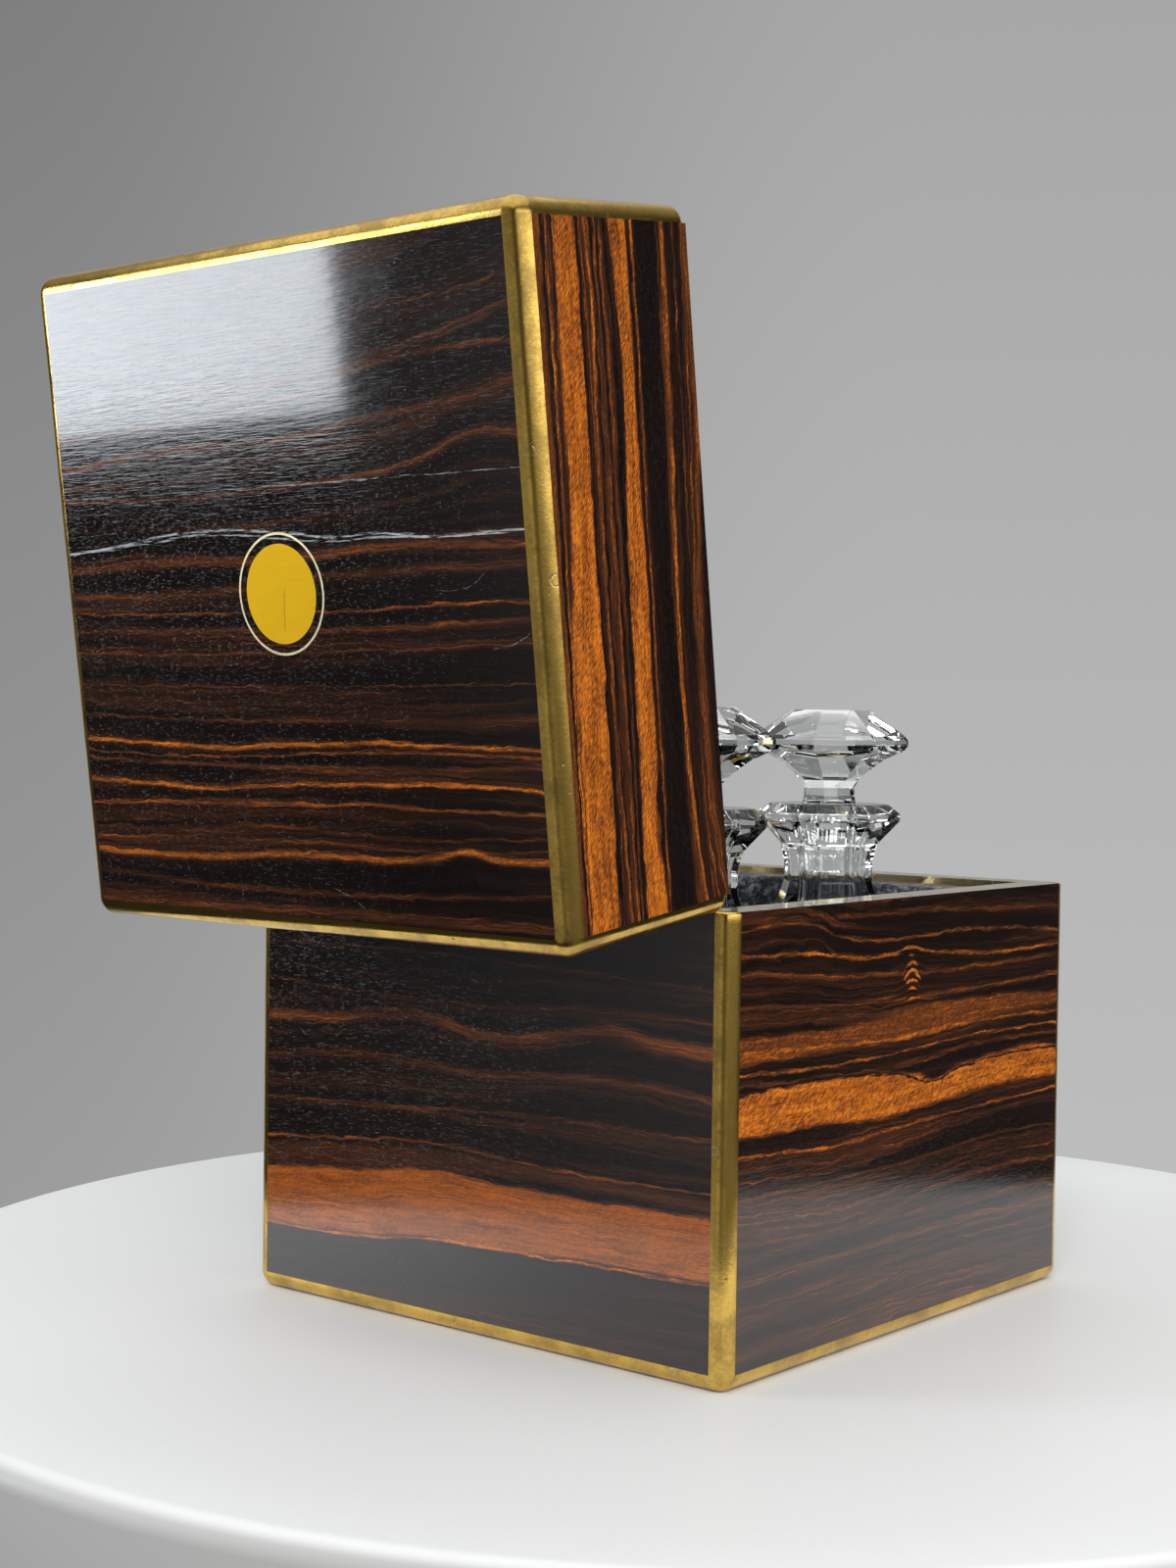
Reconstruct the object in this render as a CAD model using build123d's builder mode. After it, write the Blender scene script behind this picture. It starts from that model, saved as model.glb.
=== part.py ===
from build123d import *
import math
import os

# A brass-edged, veneered decanter box with four cut-glass decanters, its lid standing open on its
# stop hinges. Millimetres. X runs along the hinge line, the front faces -Y, Z is up, and the
# origin is the middle of the underside.
os.makedirs("parts", exist_ok=True)

# ---- driving sizes -------------------------------------------------------------------------------
# casing
WIDTH = 229.0  # outside, along X
DEPTH = 229.0  # outside, along Y
BASE_HEIGHT = 161.0  # floor to rim
LID_HEIGHT = 80.8  # rim to top, of the lid alone
RIM_GAP = 0.2  # between the two rims when shut
LID_OPEN = 97.6  # degrees between shut and resting on the stops
BOARD = 13.0  # carcass boards
VENEER = 1.2
EDGE_RADIUS = 6.35  # quarter-round brass edging
BASE_RIM_EASE = 1.0  # rounding of the edging's end at the base's rim
LID_RIM_EASE = 3.0  # and at the lid's rim
BAIZE = 0.8
CAPPING = 1.5  # brass plate on the rims
CAPPING_DROP = 3.0  # its inner return, from the rim down
CAPPING_RETURN = 1.0  # thickness of that return

# dovetails
BASE_TAILS = 5
LID_TAILS = 2
TAIL_SHARE = 0.58  # tail's mean width, of its pitch
TAIL_ANGLE = 9.0  # degrees

# cartouche in the lid's top
DISC_RADIUS = 16.5
RING_INNER = 19.45
RING_OUTER = 20.25

# hinges
HINGE_LENGTH = 38.0
HINGE_SPACING = 130.0  # between the two hinges' middles
LEAF_WIDTH = 11.0
KNUCKLE_RADIUS = 2.1
KNUCKLE_COUNT = 5
KNUCKLE_GAP = 0.15  # between neighbouring knuckles
HINGE_PIN_RADIUS = 0.95
HINGE_FIT = 0.05  # round the pin
BARREL_CLEARANCE = 0.3  # round the barrel, in wood and brass
STOP_LENGTH = 4.0  # stop shoulder, from the axis
STOP_SLACK = 0.3  # degrees between the shoulders at rest

# screws
HINGE_SCREWS = 3  # in each leaf
SCREW_HEAD = 2.1  # radius
SCREW_SHANK = 1.0  # radius
SCREW_LENGTH = 9.0
SCREW_SLOT = 0.5
SCREW_SINK = 1.2  # depth of the countersink
SCREW_FIT = 0.05

# lining
WALL_PAD = 12.3  # between the decanters' cells and the nearer walls
FLOOR_PAD = 5.0
PAD_TOP_DROP = 3.5  # lining's top edge, below the rim
PAD_ROUND = 5.0
DIVIDER = 5.0
DIVIDER_HEIGHT = 124.0
LAP_FIT = 0.1
LID_PAD = 4.0  # lining on the lid's top board
LID_SIDE_PAD = 2.0
PAD_GAP = 0.1  # between neighbouring pads

# decanters
BODY_CUT = 13.0  # cut corners of the square body
BODY_HEIGHT = 104.0  # foot to shoulder
FOOT_BEVEL = 3.0
DECANTER_HEIGHT = 180.5  # foot to lip
SHOULDER_RISE = 20.0  # of the flatter facets on the shoulder
SHOULDER_IN = 6.7  # how far they lean in from the body's sides
SHOULDER_CUT = 16.2
NECK_LEVELS = [  # (below the lip's top, from the axis to the middle of an octagon's side)
    (41.0, 19.6), (31.0, 16.6), (23.0, 16.6), (16.0, 18.3), (6.5, 26.6), (3.5, 26.6), (0.0, 22.1)]
GLASS_WALL = 4.5
GLASS_FOOT = 10.0
HOLLOW_RISE = 18.4  # the hollow's own shoulder
HOLLOW_IN = 7.5
HOLLOW_CUT = 13.5
THROAT_DEPTH = 44.0  # from the lip to where the hollow opens out
THROAT_OVERRUN = 2.0
PLUG_TOP = 10.0  # radius of the ground plug at the lip
PLUG_BOTTOM = 8.9
PLUG_LENGTH = 27.0
PLUG_FIT = 0.06
DECANTER_SEAT = 0.3  # above the floor pad
DECANTER_SIDE = 0.75  # to the divider and the side pads

# stoppers
STOPPER_LEVELS = [  # (above the lip, from the axis to the middle of an octagon's side)
    (0.0, 9.7), (5.9, 9.7), (9.0, 12.0), (12.2, 13.8), (17.9, 20.2), (22.0, 29.1), (26.3, 29.1),
    (37.2, 15.0)]
STOPPER_SEAT = 0.15  # above the lip

# lock, in the front board
LOCK_WIDTH = 50.0
LOCK_HEIGHT = 30.0
LOCK_DEPTH = 8.2
LOCK_PLATE = 1.2
SELVEDGE_LENGTH = 62.0
SELVEDGE_SCREW_SPACING = 56.0
BOLT_THICKNESS = 1.8
BOLT_TRAVEL = 5.0
BOLT_BAR = 8.0  # height of its bar
BOLT_LENGTH = 35.0
BOLT_DROP = 1.2  # its bar, below the eyes
POST_WIDTH = 3.0
FINGER_HEIGHT = 2.4
FINGER_START = 0.7  # finger's tip to the eye when withdrawn
EYE_SPACING = 20.0
EYE_THICKNESS = 2.0
EYE_WIDTH = 5.0
EYE_DROP = 9.0
EYE_WINDOW = 3.4
EYE_WINDOW_WIDTH = 2.6
EYE_FLOOR = 1.6
LOCK_CLEARANCE = 0.5
STUD_RADIUS = 1.2
STUD_SPACING = 18.0
STUD_FIT = 0.1
TALON_RADIUS = 2.5
KEY_DROP = 24.0  # key pin, below the rim
KEY_PIN_RADIUS = 1.2
KEY_HOLE_RADIUS = 3.0
KEY_SLOT_WIDTH = 2.6
KEY_SLOT_LENGTH = 6.0
ESCUTCHEON_RIM = 1.2
SPRING_THICKNESS = 0.5
SPRING_WIDTH = 3.0
SPRING_REACH = 13.0
SPRING_RISE = 6.0
SPRING_BOW = (0.45, 0.28)  # its middle, as shares of reach and rise

# ---- places that follow from them ----------------------------------------------------------------
HALF_X = WIDTH / 2
HALF_Y = DEPTH / 2
WALL = BOARD + VENEER
INNER_X = HALF_X - WALL
INNER_Y = HALF_Y - WALL
PANEL_X = HALF_X - EDGE_RADIUS  # edge of every veneered panel
PANEL_Y = HALF_Y - EDGE_RADIUS
BOARD_X = HALF_X - VENEER  # outer faces of the carcass
BOARD_Y = HALF_Y - VENEER
LID_RIM = BASE_HEIGHT + RIM_GAP
LID_TOP = LID_RIM + LID_HEIGHT
HINGE_Z = BASE_HEIGHT + RIM_GAP / 2
HINGE_AXIS = Axis((0, HALF_Y, HINGE_Z), (1, 0, 0))
HINGE_PLACES = (-HINGE_SPACING / 2, HINGE_SPACING / 2)
LID_INSIDE = LID_TOP - EDGE_RADIUS  # underside of the lid's top board
CELL_EDGE = min(INNER_X, INNER_Y) - WALL_PAD
BODY_HALF = (CELL_EDGE - DIVIDER / 2) / 2 - DECANTER_SIDE  # half of a decanter's square body
CELL = DIVIDER / 2 + DECANTER_SIDE + BODY_HALF  # a decanter's axis from the middle
FOOT_Z = EDGE_RADIUS + FLOOR_PAD + DECANTER_SEAT
LIP_Z = FOOT_Z + DECANTER_HEIGHT
OCTAGON = 2 - math.sqrt(2)  # cut of a regular octagon, of its half width
SIDES = {"left": -1, "right": 1}
ENDS = {"front": -1, "rear": 1}
CORNERS = {f"{end}_{side}": (sx, sy) for end, sy in ENDS.items() for side, sx in SIDES.items()}


def write(part, label):
    part.label = label
    export_step(part, f"parts/{label}.step")


def write_open(part, label):
    """The lid is drawn shut and turned open about the hinge axis."""
    write(part.rotate(HINGE_AXIS, -LID_OPEN), label)


def block(low, high):
    """A box between two corners."""
    size = [b - a for a, b in zip(low, high)]
    middle = [(a + b) / 2 for a, b in zip(low, high)]
    with BuildPart() as made:
        with Locations(tuple(middle)):
            Box(*size)
    return made.part


def square_ring(half_x, half_y, width, low, high):
    """An upright square frame, width thick, outside the given inner halves."""
    with BuildPart() as made:
        with BuildSketch(Plane.XY.offset(low)):
            Rectangle(2 * (half_x + width), 2 * (half_y + width))
            Rectangle(2 * half_x, 2 * half_y, mode=Mode.SUBTRACT)
        extrude(amount=high - low)
    return made.part


# ---- casing --------------------------------------------------------------------------------------
def envelope(low, high, rounded_end):
    """The outside of the base or the lid: its upright edges and one end rounded all round."""
    with BuildPart() as body:
        add(block((-HALF_X, -HALF_Y, low), (HALF_X, HALF_Y, high)))
        upright = body.edges().filter_by(Axis.Z)
        end = body.faces().filter_by(Axis.Z).sort_by(Axis.Z)[rounded_end].edges()
        fillet(upright + end, radius=EDGE_RADIUS)
    return body.part


def corner_mouldings(low, high, rounded_end, ease):
    """Four upright quarter-rounds, each ending in a ball corner, eased where they meet the rim."""
    outside = envelope(low, high, rounded_end)
    rim_end = -1 if rounded_end == 0 else 0
    mouldings = []
    for sx, sy in CORNERS.values():
        with BuildPart() as moulding:
            add(outside)
            near = (sx * PANEL_X, sy * PANEL_Y, low)
            far = (sx * HALF_X, sy * HALF_Y, high)
            corner = [sorted(pair) for pair in zip(near, far)]
            add(block([c[0] for c in corner], [c[1] for c in corner]), mode=Mode.INTERSECT)
            rim_face = moulding.faces().filter_by(Axis.Z).sort_by(Axis.Z)[rim_end]
            fillet(rim_face.edges().filter_by(GeomType.CIRCLE), radius=ease)
        mouldings.append(moulding.part)
    return Compound(mouldings)


def quarter_round(length):
    """A length of edging along X, its round side towards -Y and -Z, its corner at the origin."""
    with BuildPart() as edging:
        with BuildSketch(Plane.YZ.offset(-length / 2)):
            with BuildLine():
                Line((0, 0), (-EDGE_RADIUS, 0))
                RadiusArc((-EDGE_RADIUS, 0), (0, -EDGE_RADIUS), -EDGE_RADIUS)
                Line((0, -EDGE_RADIUS), (0, 0))
            make_face()
        extrude(amount=length)
    return edging.part


def edge_mouldings():
    """The four edgings round the bottom of the base, between the corner mouldings."""
    along_x = quarter_round(2 * PANEL_X)
    along_y = quarter_round(2 * PANEL_Y).rotate(Axis.Z, 90)
    return Compound([
        along_x.translate((0, -PANEL_Y, EDGE_RADIUS)),
        along_x.rotate(Axis.Z, 180).translate((0, PANEL_Y, EDGE_RADIUS)),
        along_y.rotate(Axis.Z, 180).translate((-PANEL_X, 0, EDGE_RADIUS)),
        along_y.translate((PANEL_X, 0, EDGE_RADIUS)),
    ])


def tails(low, high, count):
    """Dovetails on both ends of the front and rear boards, wider towards the casing's sides."""
    pitch = (high - low) / count
    spread = BOARD * math.tan(math.radians(TAIL_ANGLE))
    narrow = pitch * TAIL_SHARE / 2 - spread / 2
    wide = narrow + spread
    with BuildPart() as made:
        for sy in ENDS.values():
            with BuildSketch(Plane.XZ.offset(-sy * BOARD_Y)):
                for sx in SIDES.values():
                    for n in range(count):
                        middle = low + pitch * (n + 0.5)
                        with BuildLine():
                            Polyline(
                                (sx * INNER_X, middle - narrow),
                                (sx * BOARD_X, middle - wide),
                                (sx * BOARD_X, middle + wide),
                                (sx * INNER_X, middle + narrow),
                                close=True,
                            )
                        make_face()
            extrude(amount=sy * BOARD)
    return made.part


def carcass(low, high, rim, tail_count):
    """Four dovetailed boards, rebated at the corners for the edging and round the rim's return."""
    into_box = 1 if rim > high else -1
    return_end = rim - into_box * CAPPING_DROP
    lip = square_ring(INNER_X, INNER_Y, CAPPING_RETURN, *sorted((rim, return_end)))
    joint = tails(low, high, tail_count)
    boards = {}
    for name, sy in ENDS.items():
        with BuildPart() as board:
            near, far = sorted((sy * INNER_Y, sy * BOARD_Y))
            add(block((-INNER_X, near, low), (INNER_X, far, high)))
            add(joint, mode=Mode.ADD)
            add(block((-BOARD_X, near, low), (BOARD_X, far, high)), mode=Mode.INTERSECT)
            add(corner_rebates(low, high), mode=Mode.SUBTRACT)
            add(lip, mode=Mode.SUBTRACT)
        boards[name] = board.part
    for name, sx in SIDES.items():
        with BuildPart() as board:
            near, far = sorted((sx * INNER_X, sx * BOARD_X))
            add(block((near, -BOARD_Y, low), (far, BOARD_Y, high)))
            add(joint, mode=Mode.SUBTRACT)
            add(corner_rebates(low, high), mode=Mode.SUBTRACT)
            add(lip, mode=Mode.SUBTRACT)
        boards[name] = board.part
    return boards


def corner_rebates(low, high):
    """What the corner mouldings take out of the carcass and the rim's capping."""
    with BuildPart() as cut:
        with BuildSketch(Plane.XY.offset(low)):
            with GridLocations(2 * PANEL_X + EDGE_RADIUS, 2 * PANEL_Y + EDGE_RADIUS, 2, 2):
                Rectangle(EDGE_RADIUS, EDGE_RADIUS)
        extrude(amount=high - low)
    return cut.part


def side_veneers(low, high):
    """Four sheets of veneer between the mouldings, running up to the rim."""
    sheets = {}
    for name, sy in ENDS.items():
        near, far = sorted((sy * BOARD_Y, sy * HALF_Y))
        sheets[name] = block((-PANEL_X, near, low), (PANEL_X, far, high))
    for name, sx in SIDES.items():
        near, far = sorted((sx * BOARD_X, sx * HALF_X))
        sheets[name] = block((near, -PANEL_Y, low), (far, PANEL_Y, high))
    return sheets


def rim_capping(rim, into_box):
    """A brass plate on the rim with a return down the inside, as a frame mitred into four."""
    plate_end = rim - into_box * CAPPING
    with BuildPart() as frame:
        add(square_ring(INNER_X, INNER_Y, BOARD, *sorted((rim, plate_end))))
        drop = sorted((rim, rim - into_box * CAPPING_DROP))
        add(square_ring(INNER_X, INNER_Y, CAPPING_RETURN, *drop))
        add(corner_rebates(*drop), mode=Mode.SUBTRACT)
    strips = {}
    reach = HALF_X + HALF_Y
    for name, (dx, dy) in {"front": (0, -1), "rear": (0, 1), "left": (-1, 0), "right": (1, 0)}.items():
        with BuildPart() as strip:
            add(frame.part)
            with BuildSketch(Plane.XY.offset(min(drop))):
                with BuildLine():
                    Polyline(
                        (0, 0),
                        (reach * (dx - dy), reach * (dy + dx)),
                        (reach * (dx + dy), reach * (dy - dx)),
                        close=True,
                    )
                make_face()
            extrude(amount=CAPPING_DROP, mode=Mode.INTERSECT)
        strips[name] = strip.part
    return strips


# ---- hinges --------------------------------------------------------------------------------------
# Each hinge is drawn about its own pin: X along the pin, Y outwards behind the box, Z up.
KNUCKLE = HINGE_LENGTH / KNUCKLE_COUNT
SINK_TAPER = math.degrees(math.atan((SCREW_HEAD - SCREW_SHANK) / SCREW_SINK))
STOP_ANGLE = LID_OPEN / 2  # each shoulder's face, from level, when the lid is shut


def hinge_cylinder(radius, start, length):
    with BuildPart() as made:
        with BuildSketch(Plane.YZ.offset(start)):
            Circle(radius)
        extrude(amount=length)
    return made.part


def stop_shoulder(up, slack):
    """A wedge behind the pin; the lid's face comes down on the base's when the lid is open."""
    face = math.radians(STOP_ANGLE + slack)
    with BuildPart() as wedge:
        with BuildSketch(Plane.YZ.offset(-HINGE_LENGTH / 2)):
            with BuildLine():
                Polyline(
                    (0, 0),
                    (0, up * STOP_LENGTH),
                    (STOP_LENGTH / math.tan(face), up * STOP_LENGTH),
                    close=True,
                )
            make_face()
        extrude(amount=HINGE_LENGTH)
    return wedge.part


def leaf_screw_places():
    pitch = HINGE_LENGTH / HINGE_SCREWS
    middle = LEAF_WIDTH / 2 + KNUCKLE_RADIUS / 2
    return [((n - (HINGE_SCREWS - 1) / 2) * pitch, -middle) for n in range(HINGE_SCREWS)]


def hinge_leaf(up, slack):
    """One leaf: up is 1 for the lid's, which is over the pin, and -1 for the base's, under it."""
    face = up * RIM_GAP / 2
    own = 1 if up > 0 else 0  # the base has the outer knuckles
    starts = [-HINGE_LENGTH / 2 + n * KNUCKLE for n in range(KNUCKLE_COUNT)]
    with BuildPart() as leaf:
        low, high = sorted((face, face + up * CAPPING))
        add(block((-HINGE_LENGTH / 2, -LEAF_WIDTH, low), (HINGE_LENGTH / 2, 0, high)))
        add(stop_shoulder(up, slack))
        add(hinge_cylinder(KNUCKLE_RADIUS, -HINGE_LENGTH / 2, HINGE_LENGTH))
        for n, start in enumerate(starts):
            if n % 2 != own:
                room = KNUCKLE + 2 * KNUCKLE_GAP
                cut = hinge_cylinder(KNUCKLE_RADIUS + KNUCKLE_GAP, start - KNUCKLE_GAP, room)
                add(cut, mode=Mode.SUBTRACT)
        bore = hinge_cylinder(HINGE_PIN_RADIUS + HINGE_FIT, -HINGE_LENGTH / 2, HINGE_LENGTH)
        add(bore, mode=Mode.SUBTRACT)
        with BuildSketch(Plane.XY.offset(face)):
            with Locations(*leaf_screw_places()):
                Circle(SCREW_HEAD)
        extrude(amount=up * SCREW_SINK, taper=SINK_TAPER, mode=Mode.SUBTRACT)
        with BuildSketch(Plane.XY.offset(face)):
            with Locations(*leaf_screw_places()):
                Circle(SCREW_SHANK)
        extrude(amount=up * CAPPING, mode=Mode.SUBTRACT)
    return leaf.part


def screw(length):
    """A slotted countersunk screw, its head's face up at the origin."""
    with BuildPart() as made:
        with BuildSketch():
            Circle(SCREW_HEAD - SCREW_FIT)
        extrude(amount=-SCREW_SINK, taper=SINK_TAPER)
        with BuildSketch(Plane.XY.offset(-length)):
            Circle(SCREW_SHANK - SCREW_FIT)
        extrude(amount=length)
        with BuildSketch():
            Rectangle(2 * SCREW_HEAD, SCREW_SLOT)
        extrude(amount=-SCREW_SLOT, mode=Mode.SUBTRACT)
    return made.part


def hinge_room():
    """What one hinge takes out of the rims: its leaf's bed above and below, and the barrel."""
    half = HINGE_LENGTH / 2
    bed = CAPPING + RIM_GAP / 2
    with BuildPart() as room:
        add(block((-half, -LEAF_WIDTH, -bed), (half, 0, bed)))
        length = HINGE_LENGTH + 2 * BARREL_CLEARANCE
        add(hinge_cylinder(KNUCKLE_RADIUS + BARREL_CLEARANCE, -length / 2, length))
    return room.part


def at_hinges(shape):
    """A copy of a hinge piece at each hinge's place on the box."""
    return [shape.translate((x, HALF_Y, HINGE_Z)) for x in HINGE_PLACES]


def screw_holes(places, face, depth, radius):
    """Pilot holes, as one part: places in X and Y, from a face down or, if depth is negative, up."""
    with BuildPart() as holes:
        with BuildSketch(Plane.XY.offset(face)):
            with Locations(*places):
                Circle(radius)
        extrude(amount=-depth)
    return holes.part


def hinge_screw_places():
    return [(x + px, HALF_Y + py) for x in HINGE_PLACES for px, py in leaf_screw_places()]


def screws_at(places, shape, face):
    """One screw at each place, its head flush with the face."""
    return Compound([shape.translate((x, y, face)) for x, y in places])


# ---- glass ---------------------------------------------------------------------------------------
def cut_square(half, cut):
    """The eight corners of a square with its corners cut off."""
    near = half - cut
    return [(half, -near), (half, near), (near, half), (-near, half),
            (-half, near), (-half, -near), (-near, -half), (near, -half)]


def cut_glass(levels):
    """A solid through cut squares at (height, half width, cut), with a flat facet on each side."""
    with BuildPart() as solid:
        for height, half, cut in levels:
            with BuildSketch(Plane.XY.offset(height)):
                with BuildLine():
                    Polyline(*cut_square(half, cut), close=True)
                make_face()
        loft(ruled=True)
    return solid.part


def octagon_level(height, half):
    return (height, half, half * OCTAGON)


def decanter():
    """A square decanter with cut corners, a faceted neck and a broad eight-sided lip, foot at 0."""
    top = DECANTER_HEIGHT
    outside = [
        (0, BODY_HALF - FOOT_BEVEL, BODY_CUT),
        (FOOT_BEVEL, BODY_HALF, BODY_CUT),
        (BODY_HEIGHT, BODY_HALF, BODY_CUT),
        (BODY_HEIGHT + SHOULDER_RISE, BODY_HALF - SHOULDER_IN, SHOULDER_CUT),
    ]
    outside += [octagon_level(top - drop, half) for drop, half in NECK_LEVELS]
    inner = BODY_HALF - GLASS_WALL
    inner_cut = BODY_CUT - GLASS_WALL * OCTAGON
    throat = PLUG_BOTTOM + PLUG_FIT
    hollow = [
        (GLASS_FOOT, inner, inner_cut),
        (BODY_HEIGHT - GLASS_WALL / 2, inner, inner_cut),
        (BODY_HEIGHT + HOLLOW_RISE, inner - HOLLOW_IN, HOLLOW_CUT),
        octagon_level(top - THROAT_DEPTH, throat),
    ]
    with BuildPart() as glass:
        add(cut_glass(outside))
        add(cut_glass(hollow), mode=Mode.SUBTRACT)
        with BuildSketch(Plane.XY.offset(top - THROAT_DEPTH - THROAT_OVERRUN)):
            Circle(throat)
        extrude(amount=THROAT_DEPTH + THROAT_OVERRUN - PLUG_LENGTH, mode=Mode.SUBTRACT)
        with BuildSketch(Plane.XY.offset(top - PLUG_LENGTH)):
            Circle(throat)
        with BuildSketch(Plane.XY.offset(top)):
            Circle(PLUG_TOP + PLUG_FIT)
        loft(mode=Mode.SUBTRACT)
    return glass.part


def stopper():
    """An eight-sided mushroom stopper with a table on top and a ground plug below the lip at 0."""
    with BuildPart() as glass:
        add(cut_glass([octagon_level(height, half) for height, half in STOPPER_LEVELS]))
        with BuildSketch(Plane.XY.offset(-PLUG_LENGTH)):
            Circle(PLUG_BOTTOM)
        with BuildSketch():
            Circle(PLUG_TOP)
        loft()
    return glass.part


# ---- lock ----------------------------------------------------------------------------------------
LOCK_TOP = BASE_HEIGHT - CAPPING
LOCK_FLOOR = LOCK_TOP - LOCK_HEIGHT
LOCK_FRONT = -INNER_Y - LOCK_DEPTH
LOCK_MIDDLE = -INNER_Y - LOCK_DEPTH / 2  # the bolt's and the eyes' plane
EYE_PLACES = (-EYE_SPACING / 2, EYE_SPACING / 2)
EYE_TIP = LID_RIM - EYE_DROP
FINGER_Z = EYE_TIP + EYE_FLOOR + EYE_WINDOW / 2
BOLT_TOP = EYE_TIP - BOLT_DROP
POST_BACK = EYE_THICKNESS / 2 + BOLT_TRAVEL + LOCK_CLEARANCE + POST_WIDTH  # from an eye's middle
BOLT_LEFT = EYE_PLACES[0] - POST_BACK
STUD_Z = BOLT_TOP - BOLT_BAR / 2
STUD_PLACES = (-STUD_SPACING / 2, STUD_SPACING / 2)
KEY_Z = BASE_HEIGHT - KEY_DROP
SELVEDGE_SCREWS = [(x, LOCK_MIDDLE) for x in (-SELVEDGE_SCREW_SPACING / 2, SELVEDGE_SCREW_SPACING / 2)]


def front_plane(y):
    """A drawing plane at y, X across and Y up, that extrudes towards the front."""
    return Plane(origin=(0, y, 0), x_dir=(1, 0, 0), z_dir=(0, -1, 0))


def keyhole(inside, outside, rim):
    """A keyhole's solid from y inside to y outside, grown all round by rim."""
    with BuildPart() as hole:
        with BuildSketch(front_plane(inside)):
            with Locations((0, KEY_Z)):
                Circle(KEY_HOLE_RADIUS + rim)
            with Locations((0, KEY_Z - (KEY_SLOT_LENGTH + rim) / 2)):
                Rectangle(KEY_SLOT_WIDTH + 2 * rim, KEY_SLOT_LENGTH + rim)
        extrude(amount=inside - outside)
    return hole.part


def lock_room():
    """What the lock takes out of the front board."""
    half = LOCK_WIDTH / 2
    with BuildPart() as room:
        add(block((-half, LOCK_FRONT, LOCK_FLOOR), (half, -INNER_Y, LOCK_TOP)))
        add(keyhole(LOCK_FRONT + LOCK_PLATE, -BOARD_Y, 0))
        add(screw_holes(SELVEDGE_SCREWS, BASE_HEIGHT, SCREW_LENGTH, SCREW_SHANK))
    return room.part


def selvedge_room(low, high):
    half = SELVEDGE_LENGTH / 2
    return block((-half, -BOARD_Y, low), (half, -INNER_Y, high))


def lock_case():
    """An open tray with studs for the bolt, under a top plate with two slots for the eyes."""
    half = LOCK_WIDTH / 2
    inside = half - LOCK_PLATE
    slot_x = EYE_THICKNESS + 2 * LOCK_CLEARANCE
    slot_y = EYE_WIDTH + 2 * LOCK_CLEARANCE
    drop = BASE_HEIGHT - CAPPING_DROP
    with BuildPart() as case:
        add(block((-half, LOCK_FRONT, LOCK_FLOOR), (half, -INNER_Y, LOCK_TOP)))
        hollow = (-inside, LOCK_FRONT + LOCK_PLATE, LOCK_FLOOR + LOCK_PLATE)
        add(block(hollow, (inside, -INNER_Y, LOCK_TOP)), mode=Mode.SUBTRACT)
        seat = -INNER_Y - LOCK_PLATE
        add(block((-half, seat, LOCK_FLOOR), (half, -INNER_Y, drop)), mode=Mode.SUBTRACT)
        add(selvedge_room(LOCK_TOP, BASE_HEIGHT))
        lip = -INNER_Y - CAPPING_RETURN
        add(block((-SELVEDGE_LENGTH / 2, lip, drop), (SELVEDGE_LENGTH / 2, -INNER_Y, LOCK_TOP)))
        with BuildSketch(front_plane(seat)):
            with Locations(*[(x, STUD_Z) for x in STUD_PLACES]):
                Circle(STUD_RADIUS)
        extrude(amount=LOCK_DEPTH - 2 * LOCK_PLATE)
        with BuildSketch(Plane.XY.offset(BASE_HEIGHT)):
            with Locations(*[(x, LOCK_MIDDLE) for x in EYE_PLACES]):
                Rectangle(slot_x, slot_y)
        extrude(amount=-CAPPING, mode=Mode.SUBTRACT)
        add(keyhole(LOCK_FRONT + LOCK_PLATE, LOCK_FRONT, 0), mode=Mode.SUBTRACT)
        with BuildSketch(Plane.XY.offset(BASE_HEIGHT)):
            with Locations(*SELVEDGE_SCREWS):
                Circle(SCREW_HEAD)
        extrude(amount=-SCREW_SINK, taper=SINK_TAPER, mode=Mode.SUBTRACT)
        holes = screw_holes(SELVEDGE_SCREWS, BASE_HEIGHT, CAPPING, SCREW_SHANK)
        add(holes, mode=Mode.SUBTRACT)
    return case.part


def lock_cap():
    """The case's back plate, with the key pin standing on it."""
    half = LOCK_WIDTH / 2
    seat = -INNER_Y - LOCK_PLATE
    with BuildPart() as cap:
        add(block((-half, seat, LOCK_FLOOR), (half, -INNER_Y, BASE_HEIGHT - CAPPING_DROP)))
        with BuildSketch(front_plane(seat)):
            with Locations((0, KEY_Z)):
                Circle(KEY_PIN_RADIUS)
        extrude(amount=BOARD - LOCK_PLATE - LOCK_CLEARANCE)
    return cap.part


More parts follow.
